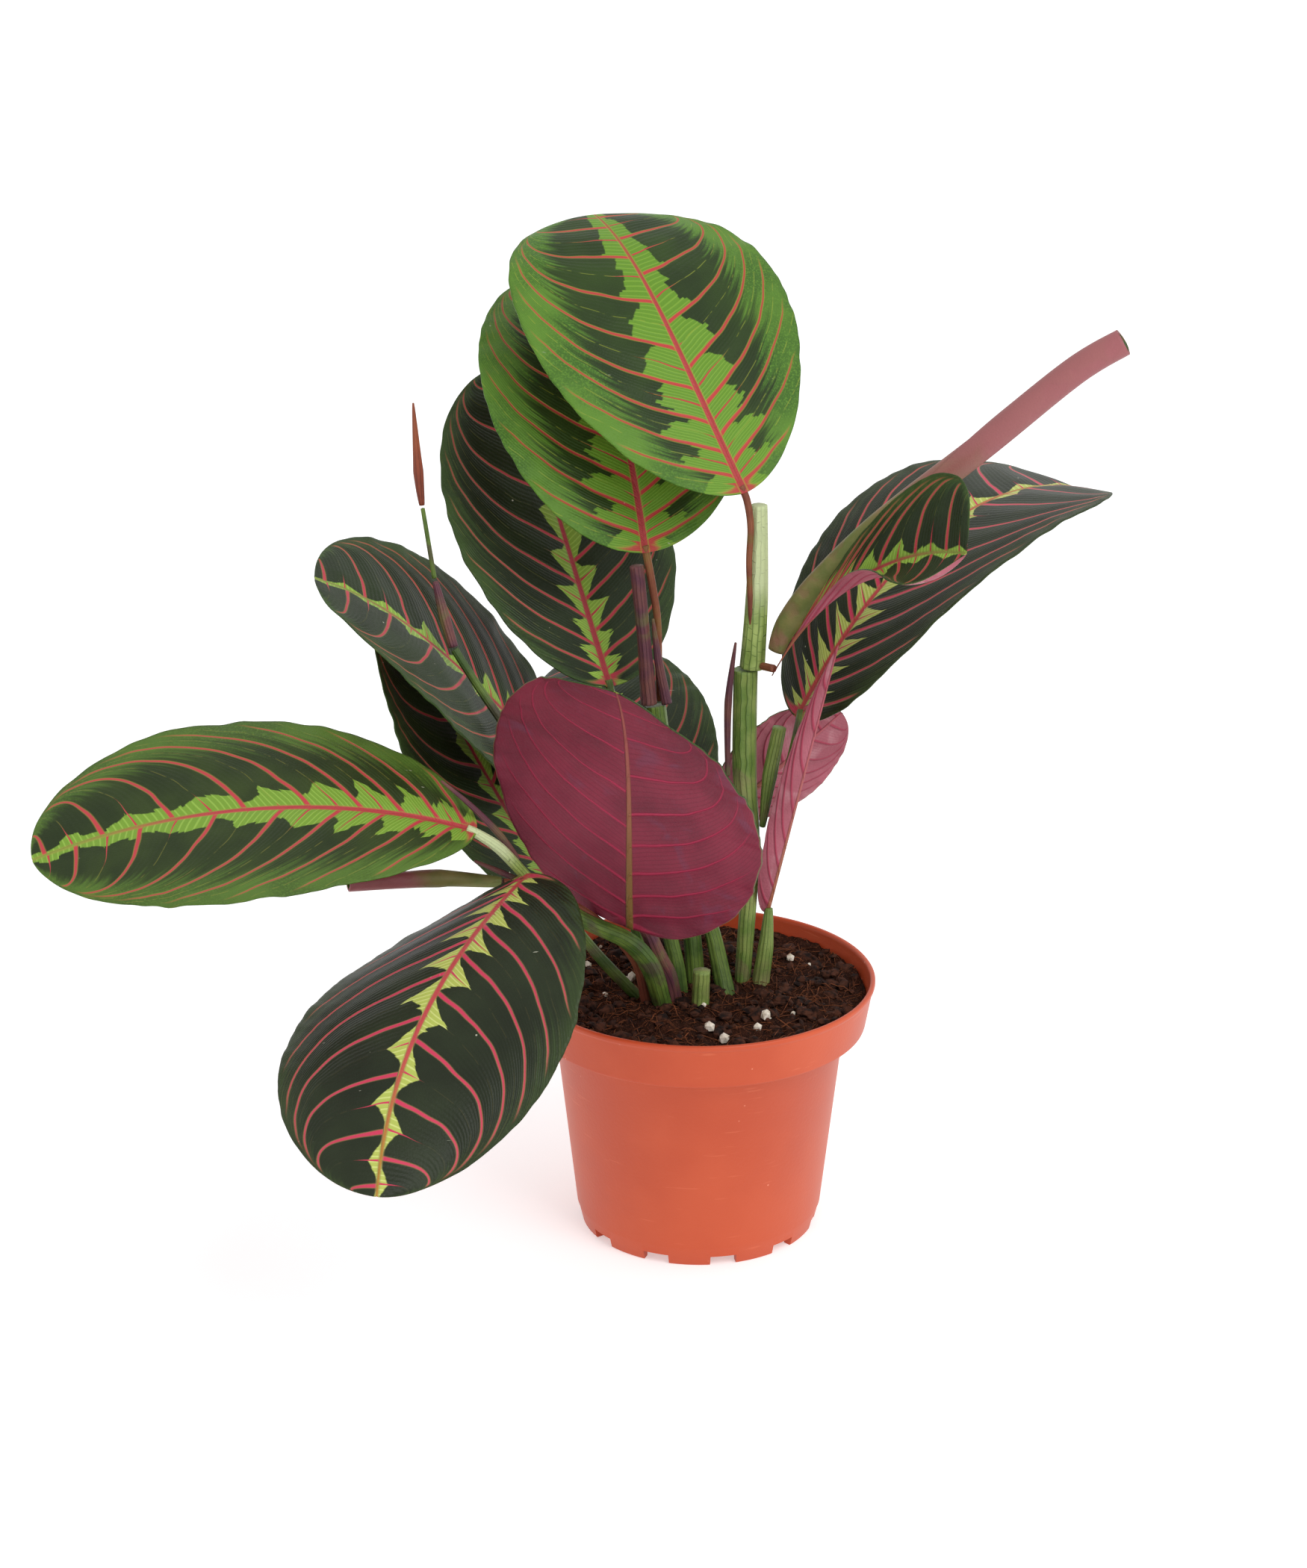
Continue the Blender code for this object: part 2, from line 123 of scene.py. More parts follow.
def sheetMesh(rows, columns, place, marks=()):
    # A square grid whose corners are moved by place(u, v), with the marks kept on its points.
    bm = bmesh.new()
    bmesh.ops.create_grid(bm, x_segments=rows, y_segments=columns, size=0.5)
    layers = [bm.verts.layers.float.new(mark) for mark in marks]
    for vert in bm.verts:
        u = min(max(vert.co.x + 0.5, 0.0), 1.0)
        v = min(max(vert.co.y + 0.5, 0.0), 1.0)
        point, values = place(u, v)
        vert.co = potAxis + point * mm
        for layer, value in zip(layers, values):
            vert[layer] = value
    bmesh.ops.remove_doubles(bm, verts=bm.verts, dist=0.02 * mm)
    return bm


def softStep(tree, value, low, high):
    # 0 below low, 1 above high, eased between them.
    return addNode(tree, "MapRange", {"Value": value, "From Min": low, "From Max": high},
                   interpolation_type="SMOOTHSTEP")["Result"]


def lineMask(tree, distance, half, soft):
    # 1 within half of a line, fading over soft.
    inside = addNode(tree, "Math", {0: half, 1: distance}, operation="SUBTRACT")[0]
    return softStep(tree, inside, -soft, soft)


def paintOver(tree, color, layers):
    # Lays colours over a first one in turn. Each row holds a mask, its strength and the colour it brings.
    for mask, strength, over in layers:
        amount = addNode(tree, "Math", {0: mask, 1: strength}, operation="MULTIPLY")[0]
        ends = [hexColor(tint) if isinstance(tint, str) else tint for tint in (color, over)]
        color = addNode(tree, "Mix", {0: amount, 6: ends[0], 7: ends[1]}, data_type="RGBA")[2]
    return color


# Pot: an injection-moulded nursery pot with a collar, a ring of feet and drain holes.
potSetup = dict(steps=176, rimRadius=60.0, height=90.0, collar=16.4, collarLow=56.6, bodyTop=49.6,
                bodyLow=42.2, foot=40.2, footHeight=3.5, band=6.5, wall=1.3, feet=11, footGap=9.0, drains=6)


def terracottaPolypropylene():
    # Satin moulded plastic: even orange, faintly cloudy, with rubbed streaks and specks of peat dust.
    made, tree, shader = newMaterial("terracotta polypropylene", 0.42, 0.35)
    spot = addNode(tree, "TexCoord")["Object"]
    cloud = addNode(tree, "TexNoise", {"Vector": spot, "Scale": 22.0, "Detail": 4.0})["Fac"]  # 45 mm clouds
    grain = addNode(tree, "TexNoise", {"Vector": spot, "Scale": 900.0, "Detail": 2.0})["Fac"]  # 1.1 mm
    stretch = addNode(tree, "Mapping", {"Vector": spot, "Scale": (60.0, 60.0, 700.0)})[0]  # 17 x 1.4 mm
    scuff = addNode(tree, "TexNoise", {"Vector": stretch, "Scale": 1.0, "Detail": 3.0})["Fac"]
    dust = addNode(tree, "TexVoronoi", {"Vector": spot, "Scale": 240.0})["Distance"]  # one cell per 4 mm
    few = softStep(tree, addNode(tree, "TexNoise", {"Vector": spot, "Scale": 70.0})["Fac"], 0.58, 0.62)
    mark = addNode(tree, "Math", {0: softStep(tree, dust, 0.10, 0.05), 1: few}, operation="MULTIPLY")[0]
    color = paintOver(tree, "b84724", [
        (softStep(tree, cloud, 0.3, 0.7), 1.0, "c3522e"), (softStep(tree, scuff, 0.66, 0.74), 0.25,
                                                           "dc7a55"),
        (mark, 0.6, "e9a184")])
    gloss = addNode(tree, "MapRange", {"Value": cloud, "To Min": 0.36, "To Max": 0.5})["Result"]
    bump = addNode(tree, "Bump", {"Height": grain, "Strength": 0.25, "Distance": 0.0002})[0]
    finishShader(tree, shader, color, bump, gloss)
    return made


def potProfile(setup):
    top, rim, wall = setup["height"], setup["rimRadius"], setup["wall"]
    ledge = top - setup["collar"]
    floor = setup["footHeight"] + 1.5
    low, body, foot = setup["collarLow"], setup["bodyTop"], setup["foot"]
    outside = [(rim - 0.75, top), (rim - 0.3, top - 0.12), (rim, top - 0.55), (rim, top - 1.3),
               (rim - 0.25, top - 1.75),
               (rim - 0.55, top - 2.1), (rim - 0.75, top - 2.6)]
    outside += [(low + 0.35, ledge + 0.9), (low + 0.15, ledge + 0.3), (low - 0.35, ledge),
                (body + 0.6, ledge - 0.25),
                (body, ledge - 0.9)]
    outside += [(setup["bodyLow"] + 0.1, setup["band"] + 0.7), (setup["bodyLow"] - 0.25, setup["band"])]
    outside += [(foot + 0.35, 0.4), (foot, 0)]
    inside = [(foot - 2.6, 0), (foot - 2.8, setup["footHeight"]), (8, setup["footHeight"]), (8, floor),
              (foot - 0.6, floor)]
    inside += [(body - wall, ledge + 0.6), (low - wall - 0.6, ledge + 1.0), (low - wall, ledge + 1.8)]
    inside += [(rim - 1.9, top - 1.5), (rim - 1.75, top - 0.5), (rim - 1.3, top - 0.05)]
    return outside + inside


def buildPot(setup, finish):
    bm = bmesh.new()
    corners = [bm.verts.new((radius * mm, 0, height * mm)) for radius, height in potProfile(setup)]
    for first, second in zip(corners, corners[1:] + corners[:1]):
        bm.edges.new((first, second))
    bmesh.ops.spin(bm, geom=bm.verts[:] + bm.edges[:], cent=(0, 0, 0), axis=(0, 0, 1), angle=2 * math.pi,
                   steps=setup["steps"], use_merge=True)
    bmesh.ops.remove_doubles(bm, verts=bm.verts, dist=0.01 * mm)
    bmesh.ops.recalc_face_normals(bm, faces=bm.faces)
    cutter = bmesh.new()
    for i in range(setup["feet"]):
        turn = math.radians(-95 + 360 / setup["feet"] * (i + 0.5))
        block = bmesh.ops.create_cube(cutter, size=1)["verts"]
        bmesh.ops.scale(cutter, verts=block, vec=(9 * mm, setup["footGap"] * mm,
                                                  setup["footHeight"] * 2 * mm))
        bmesh.ops.translate(cutter, verts=block, vec=(setup["foot"] * mm, 0, -0.05 * mm))
        bmesh.ops.rotate(cutter, verts=block, cent=(0, 0, 0), matrix=Matrix.Rotation(turn, 3, "Z"))
    for i in range(setup["drains"]):
        turn = 2 * math.pi / setup["drains"] * i
        hole = bmesh.ops.create_cone(cutter, cap_ends=True, segments=24, radius1=4 * mm, radius2=4 * mm,
                                     depth=8 * mm)
        bmesh.ops.translate(cutter, verts=hole["verts"],
                            vec=(24 * mm * math.cos(turn), 24 * mm * math.sin(turn), 4.2 * mm))
    shapes = []
    for name, shape in (("potBlank", bm), ("potCutter", cutter)):
        mesh = bpy.data.meshes.new(name)
        shape.to_mesh(mesh)
        shape.free()
        shapes.append(bpy.data.objects.new(name, mesh))
        bpy.context.scene.collection.objects.link(shapes[-1])
    boolean = shapes[0].modifiers.new("gaps", "BOOLEAN")
    boolean.object = shapes[1]
    graph = bpy.context.evaluated_depsgraph_get()
    cutMesh = bpy.data.meshes.new_from_object(shapes[0].evaluated_get(graph))
    for shape in shapes:
        bpy.data.objects.remove(shape)
    bm = bmesh.new()
    bm.from_mesh(cutMesh)
    bmesh.ops.translate(bm, verts=bm.verts, vec=potAxis)
    piece = addPiece("nurseryPot", bm, [finish], ["pot"])
    piece.data.set_sharp_from_angle(angle=math.radians(50))
    return piece


# Soil: peat with coir fibre, bark crumbs and white perlite.
soilSetup = dict(radius=57.0, lowRadius=48.4, wallDepth=74.0, relief=3.0, fibres=640, crumbs=700,
                 perlite=24)


def peatMix():
    # Damp peat with coir: near black hollows, brown crumbs and a tangle of paler threads.
    made, tree, shader = newMaterial("peat and coir", 0.95, 0.1)
    spot = addNode(tree, "TexCoord")["Object"]
    # Crumbs of 4 mm, threads of 1 mm.
    clump = addNode(tree, "TexNoise", {"Vector": spot, "Scale": 260.0, "Detail": 6.0,
                                       "Roughness": 0.7})["Fac"]
    thread = addNode(tree, "TexNoise", {"Vector": spot, "Scale": 900.0, "Detail": 4.0,
                                        "Distortion": 2.5})["Fac"]
    ramp = addNode(tree, "MapRange", {"Value": clump, "From Min": 0.3, "From Max": 0.72})["Result"]
    color = paintOver(tree, "150b09", [(ramp, 1.0, "4a2a1d"), (softStep(tree, thread, 0.56, 0.66), 1.0,
                                                               "6e432e")])
    height = addNode(tree, "Math", {0: clump, 1: thread}, operation="ADD")[0]
    finishShader(tree, shader, color,
                 addNode(tree, "Bump", {"Height": height, "Strength": 1.0, "Distance": 0.0014})[0])
    return made


def looseGrain(name, first, second, roughness, scale):
    # Dry, dull bits of one material, mottled between two tints.
    made, tree, shader = newMaterial(name, roughness, 0.2)
    spot = addNode(tree, "TexCoord")["Object"]
    cloud = addNode(tree, "TexNoise", {"Vector": spot, "Scale": scale, "Detail": 4.0})["Fac"]
    fine = addNode(tree, "TexNoise", {"Vector": spot, "Scale": scale * 5, "Detail": 3.0})["Fac"]
    color = paintOver(tree, first, [(softStep(tree, cloud, 0.35, 0.65), 1.0, second)])
    finishShader(tree, shader, color,
                 addNode(tree, "Bump", {"Height": fine, "Strength": 0.6, "Distance": 0.0003})[0])
    return made


def soilHeight(x, y):
    top = soilHigh / mm - 1.2
    slow = noise.noise(Vector((x * 0.09, y * 0.09, 3.1)))
    fast = noise.noise(Vector((x * 0.35, y * 0.35, 7.7)))
    fine = noise.noise(Vector((x * 1.1, y * 1.1, 1.3)))
    return top + soilSetup["relief"] * (0.7 * slow + 0.5 * fast + 0.25 * fine)


def settle(bm, verts, x, y, lift):
    bmesh.ops.translate(bm, verts=verts, vec=potAxis + Vector((x, y, soilHeight(x, y) + lift)) * mm)


def buildSoil(setup, finishes):
    def place(u, v):
        turn = 2 * math.pi * v
        if u < 0.86:
            radius = setup["radius"] * u / 0.86
            x, y = radius * math.cos(turn), radius * math.sin(turn)
            return Vector((x, y, soilHeight(x, y))), ()
        if u < 0.95:
            fall = (u - 0.86) / 0.09
            radius = setup["radius"] - (setup["radius"] - setup["lowRadius"]) * fall
            return Vector((radius * math.cos(turn), radius * math.sin(turn), 84 - 12 * fall)), ()
        radius = setup["lowRadius"] * (1 - (u - 0.95) / 0.05)
        return Vector((radius * math.cos(turn), radius * math.sin(turn), 72)), ()

    bm = sheetMesh(130, 260, place)
    bmesh.ops.recalc_face_normals(bm, faces=bm.faces)
    addPiece("soilBody", bm, [finishes["peat"]], ["soil"])
    rng = random.Random(11)

    def scatter(edge):
        radius = edge * math.sqrt(rng.random())
        turn = rng.uniform(0, 2 * math.pi)
        return radius * math.cos(turn), radius * math.sin(turn)

    bm = bmesh.new()
    for i in range(setup["fibres"]):
        x, y = scatter(54)
        heading, bend = rng.uniform(0, 2 * math.pi), rng.uniform(-0.16, 0.16)
        length, thick, lift = rng.uniform(4, 15), rng.uniform(0.09, 0.2), rng.uniform(0.1, 1.6)
        ring = bmesh.ops.create_circle(bm, segments=3, radius=thick * mm)["verts"]
        place = Vector((x, y, soilHeight(x, y)))
        turn = Matrix.Rotation(heading, 3, "Z") @ Matrix.Rotation(math.pi / 2, 3, "Y")
        bmesh.ops.rotate(bm, verts=ring, cent=(0, 0, 0), matrix=turn)
        bmesh.ops.translate(bm, verts=ring, vec=potAxis + place * mm)
        edges = list({edge for vert in ring for edge in vert.link_edges})
        for k in range(5):
            heading += bend
            grown = bmesh.ops.extrude_edge_only(bm, edges=edges)["geom"]
            ring = [item for item in grown if isinstance(item, bmesh.types.BMVert)]
            edges = [item for item in grown if isinstance(item,
                                                          bmesh.types.BMEdge) and item.verts[0] in ring
                     and item.verts[1] in ring]
            step = Vector((math.cos(heading), math.sin(heading), 0)) * length / 5
            nextPlace = place + step
            if nextPlace.xy.length > 55.5:
                nextPlace.xy = nextPlace.xy.normalized() * 55.5
            nextPlace.z = soilHeight(nextPlace.x, nextPlace.y) + lift * math.sin(math.pi * (k + 1) / 5.5)
            bmesh.ops.translate(bm, verts=ring, vec=(nextPlace - place) * mm)
            place = nextPlace
    addPiece("coirFibres", bm, [finishes["fibre"]], None)

    bm = bmesh.new()
    for i in range(setup["crumbs"]):
        x, y = scatter(55)
        crumb = bmesh.ops.create_icosphere(bm, subdivisions=1, radius=mm)["verts"]
        size = rng.choice((0.5, 0.8, 1.1, 1.5, 2.0, 2.8))
        squash = Vector((rng.uniform(0.6, 1.6), rng.uniform(0.5, 1.2), rng.uniform(0.35, 0.8))) * size
        bmesh.ops.scale(bm, verts=crumb, vec=squash)
        for vert in crumb:
            vert.co *= rng.uniform(0.75, 1.2)
        turn = Matrix.Rotation(rng.uniform(0, 6.3), 3, "Z") @ Matrix.Rotation(rng.uniform(-0.7, 0.7), 3,
                                                                              "X")
        bmesh.ops.rotate(bm, verts=crumb, cent=(0, 0, 0), matrix=turn)
        settle(bm, crumb, x, y, 0.25 * size)
    addPiece("barkCrumbs", bm, [finishes["bark"]], None, smooth=False)

    bm = bmesh.new()
    for i in range(setup["perlite"]):
        x, y = scatter(54)
        grain = bmesh.ops.create_icosphere(bm, subdivisions=1, radius=mm)["verts"]
        size = rng.choice((0.7, 0.9, 1.1, 1.5, 2.0))
        for vert in grain:
            vert.co *= size * (1 + 0.5 * noise.noise(vert.co / mm * 1.7 + Vector((i * 3.7, 0, 0))))
        settle(bm, grain, x, y, 0.5 * size)
    addPiece("perliteGrains", bm, [finishes["perlite"]], None, smooth=False)


potFinish = terracottaPolypropylene()
buildPot(potSetup, potFinish)
print("pot made")
soilFinishes = dict(peat=peatMix(), fibre=looseGrain("coir fibre", "4c2816", "804a2c", 0.8, 300.0),
                    bark=looseGrain("composted bark", "180d0a", "4a2a1c", 0.9, 400.0),
                    perlite=looseGrain("perlite", "bdb19e", "e6decf", 0.85, 500.0))
buildSoil(soilSetup, soilFinishes)
print("soil made")

# Leaves: a midrib that arches, sweeps and twists from its base, and blade halves that leave it at an angle.
leafDefaults = dict(roll=0, arch=0, sweep=0, twist=0, fold=4, cup=0, hook=1.6, low=0.5, high=0.52,
                    lobe=0.03, wave=1.1, quilt=0.5, relax=0, pairs=8, slant=1.0, look="green", back="wine")
leafSetup = {
    "leaf_a": dict(base=(12.7, 6, 262.3), length=122, width=94, heading=130, rise=50, roll=-17, arch=48,
                   sweep=-7, twist=4, fold=0, cup=-6, hook=2.4, low=0.56, high=0.42, look="bright"),
    "leaf_b": dict(base=(-18.8, 20, 237.8), length=117, width=89, heading=107, rise=61, roll=-2, arch=51,
                   sweep=5, twist=-4, look="bright"),
    "leaf_c": dict(base=(-31.5, 28, 188), length=121, width=85, heading=116, rise=50, roll=11, arch=4,
                   sweep=-2, twist=-9, fold=3, cup=-4, look="dark"),
    "leaf_d": dict(base=(-50.9, 28, 158.4), length=113, width=87, heading=-153, rise=49.5, roll=-37,
                   arch=32, sweep=6, twist=16.5, hook=3.5, low=0.49, high=0.43, look="dark"),
    "leaf_e": dict(base=(-50.1, 6, 120.2), length=114, width=76, heading=165, rise=58, roll=-13, arch=-6,
                   sweep=-3, twist=2, look="dark"),
    "leaf_f": dict(base=(-76.6, -50, 163.2), length=140, width=80, heading=-177.5, rise=17, roll=-20,
                   arch=28, sweep=25, twist=-5, fold=3, cup=-5, hook=0.85, low=0.56, high=0.56,
                   look="green"),
    "leaf_g": dict(base=(-58.4, -52, 145.8), length=129, width=96, heading=-126, rise=-20, roll=22, arch=32,
                   sweep=16, twist=-44, fold=-5, cup=-11, hook=1.3, low=0.46, high=0.58, look="black"),
    "leaf_h": dict(base=(-23.4, -23, 119.7), length=114, width=98, heading=-92, rise=72, roll=-26, arch=30,
                   sweep=8, fold=-5, cup=5, hook=1.95, low=0.46, high=0.53, wave=2.4, look="dark",
                   back="wine"),
    "leaf_i": dict(base=(-11.1, 30, 131.8), length=102, width=70, heading=120, rise=40, arch=40, sweep=-18,
                   twist=-33, cup=-20, hook=1.0, look="dark"),
    "leaf_j": dict(base=(34.2, 13, 182.1), length=134, width=89, heading=15, rise=61, roll=13, arch=76,
                   sweep=14, twist=2, hook=1.4, high=0.3, pairs=9, look="black"),
    "leaf_l": dict(base=(24.5, -1, 200.5), length=98, width=50, heading=-16, rise=62, roll=60, arch=-14,
                   sweep=-60, fold=0, cup=3, low=2.1, high=0.26, foldRight=30, cupRight=190, relax=0.7,
                   look="dark", back="pink"),
    "leaf_m": dict(base=(23.8, 8, 112.4), length=103, width=17, heading=-40, rise=74.5, roll=53, twist=-25,
                   fold=5, cup=10, low=0.45, high=0.9, foldRight=50, cupRight=60, look="black",
                   back="pink"),
    "leaf_n": dict(base=(9, 23, 140), length=53, width=38, heading=5, rise=42, roll=-70, look="dark",
                   back="pink"),
}
leafMarks = ("phase", "pace", "away", "edge", "along")


def halfWidth(u, leaf):
    peak = leaf["low"] / (leaf["low"] + leaf["high"])
    top = peak ** leaf["low"] * (1 - peak) ** leaf["high"]
    u = min(max(u, 0.0), 1.0)
    return 0.5 * leaf["width"] * u ** leaf["low"] * (1 - u) ** leaf["high"] / top


def across(x, fold, cup):
    if abs(cup) < 1e-3:
        return x * math.cos(fold), x * math.sin(fold)
    end = fold + cup * x
    return (math.sin(end) - math.sin(fold)) / cup, (math.cos(fold) - math.cos(end)) / cup


def veinPhase(u, size, leaf, side):
    # Which side vein passes here, with its slopes along and across. Each leaves the rib at a slant, then
    # turns to follow the margin.
    swept, sweptSlope = 0.42 * size + 0.56 * size ** 4, 0.42 + 2.24 * size ** 3
    low, high = -0.3, 1.0
    for i in range(20):
        start = (low + high) / 2
        drift = leaf["slant"] * (1 - start) * (0.2 + 2.4 * start - 2.1 * start ** 2)
        if start + drift * swept < u:
            low = start
        else:
            high = start
    driftSlope = leaf["slant"] * (2.2 - 9 * start + 6.3 * start ** 2)
    give = max(1 + driftSlope * swept, 0.12)
    scale = leaf["pairs"] / 8
    if start < 0:
        count, countSlope = 14.5 * start, 14.5
    else:
        count = 14.5 * start - 13.5 * start ** 2 + 7 * start ** 3
        countSlope = 14.5 - 27 * start + 21 * start ** 2
    phase = count * scale - 0.28 + (0.45 if side < 0 else 0.0)
    return phase, countSlope * scale / give, -countSlope * scale * drift * sweptSlope / give


def leafFrames(leaf, fine=256):
    start = (Matrix.Rotation(math.radians(leaf["heading"]), 3, "Z")
             @ Matrix.Rotation(-math.radians(leaf["rise"]), 3, "Y")
             @ Matrix.Rotation(math.radians(leaf["roll"]), 3, "X"))
    place = Vector(leaf["base"])
    found = []
    for i in range(fine + 1):
        u = i / fine
        turned = (start @ Matrix.Rotation(math.radians(leaf["sweep"] * u), 3, "Z")
                  @ Matrix.Rotation(math.radians(leaf["arch"] * u ** leaf["hook"]), 3, "Y")
                  @ Matrix.Rotation(math.radians(leaf["twist"] * u), 3, "X"))
        found.append((place.copy(), turned))
        place += turned @ Vector((leaf["length"] / fine, 0, 0))
    return found


def buildLeaf(node, given, finishes):
    leaf = {**leafDefaults, **given}
    frames = leafFrames(leaf)
    fine = len(frames) - 1
    shift = Vector((leaf["base"][0], leaf["base"][1], 0)) * 0.37

    def place(t, w):
        u = (1 - math.cos(math.pi * t)) / 2
        v = 2 * w - 1
        k = min(int(u * fine), fine - 1)
        part = u * fine - k
        spot = frames[k][0].lerp(frames[k + 1][0], part)
        turned = frames[k][1]
        size, side = abs(v), (1 if v >= 0 else -1)
        reach = halfWidth(u, leaf)
        fold = math.radians(leaf["fold"] if v >= 0 else leaf.get("foldRight", leaf["fold"]))
        cup = math.radians(leaf["cup"] if v >= 0 else leaf.get("cupRight", leaf["cup"]))
        flat, up = across(size, fold, cup * (1 - leaf["relax"] * u))
        back = -leaf["lobe"] * leaf["length"] * v * v * (1 - u) ** 6
        phase, alongSlope, acrossSlope = veinPhase(u, size, leaf, side)
        d = 0.004
        width = max(reach, 0.5)
        spread = (halfWidth(u + d, leaf) - halfWidth(u - d, leaf)) / (2 * d)
        slopeY = acrossSlope / width
        slopeX = (alongSlope - slopeY * size * spread) / leaf["length"]
        pace = min(1 / max(math.hypot(slopeX, slopeY), 1e-4), 40)
        # The blade is quilted between its veins and a little wavy along the margin.
        away = size * reach
        bulge = math.sin(math.pi * (phase % 1)) ** 2
        fade = min(away / 8, 1) * (1 - size ** 3)
        lift = leaf["quilt"] * bulge * fade * min(pace / 8, 1)
        lift -= 0.55 * math.exp(-(away / 1.6) ** 2) * (1 - u)
        wave = noise.noise(Vector((u * 9, side * 3.3, 0)) + shift) + 0.5 * noise.noise(Vector((u * 26,
                                                                                               side * 7,
                                                                                               2)) + shift)
        lift += leaf["wave"] * wave * size ** 5 * min(reach / 20, 1)
        slack = 1 + 0.012 * noise.noise(Vector((u * 22, side * 5, 4)) + shift) * size ** 6
        offset = Vector((back, side * flat * reach * slack, up * reach + lift))
        return spot + turned @ offset, (phase, pace, away, size, u)

    bm = sheetMesh(150, 84, place, leafMarks)
    return addPiece(node.replace("_", "") + "Blade", bm, [finishes[leaf["look"]], finishes[leaf["back"]]],
                    [node],
                    dict(thickness=0.45, inside=1))


def leafSkin(name, roughness):
    # A leaf material with what both faces share: the marks kept on the blade and the wandering side veins.
    made, tree, shader = newMaterial(name, roughness, 0.22)
    spot = addNode(tree, "TexCoord")["Object"]
    marks = {mark: addNode(tree, "Attribute", attribute_name=mark)["Fac"] for mark in leafMarks}
    drift = addNode(tree, "TexNoise", {"Vector": spot, "Scale": 70.0, "Detail": 1.0})["Fac"]  # 14 mm bends
    phase = addNode(tree, "Math", {0: drift, 1: 0.16, 2: marks["phase"]}, operation="MULTIPLY_ADD")[0]
    swing = addNode(tree, "Math", {0: phase, 1: 0.5}, operation="PINGPONG")[0]
    distance = addNode(tree, "Math", {0: swing, 1: marks["pace"]}, operation="MULTIPLY")[0]
    return made, tree, shader, spot, marks, phase, swing, distance


def repeated(tree, phase, times):
    # The place along the fine veins, when so many of them lie between two side veins.
    return addNode(tree, "Math", {0: phase, 1: times}, operation="MULTIPLY")[0]


def diceRoll(tree, value):
    # One random number for each whole step of the value.
    step = addNode(tree, "Math", {0: value}, operation="FLOOR")[0]
    return addNode(tree, "TexWhiteNoise", {"W": step}, noise_dimensions="1D")["Value"]


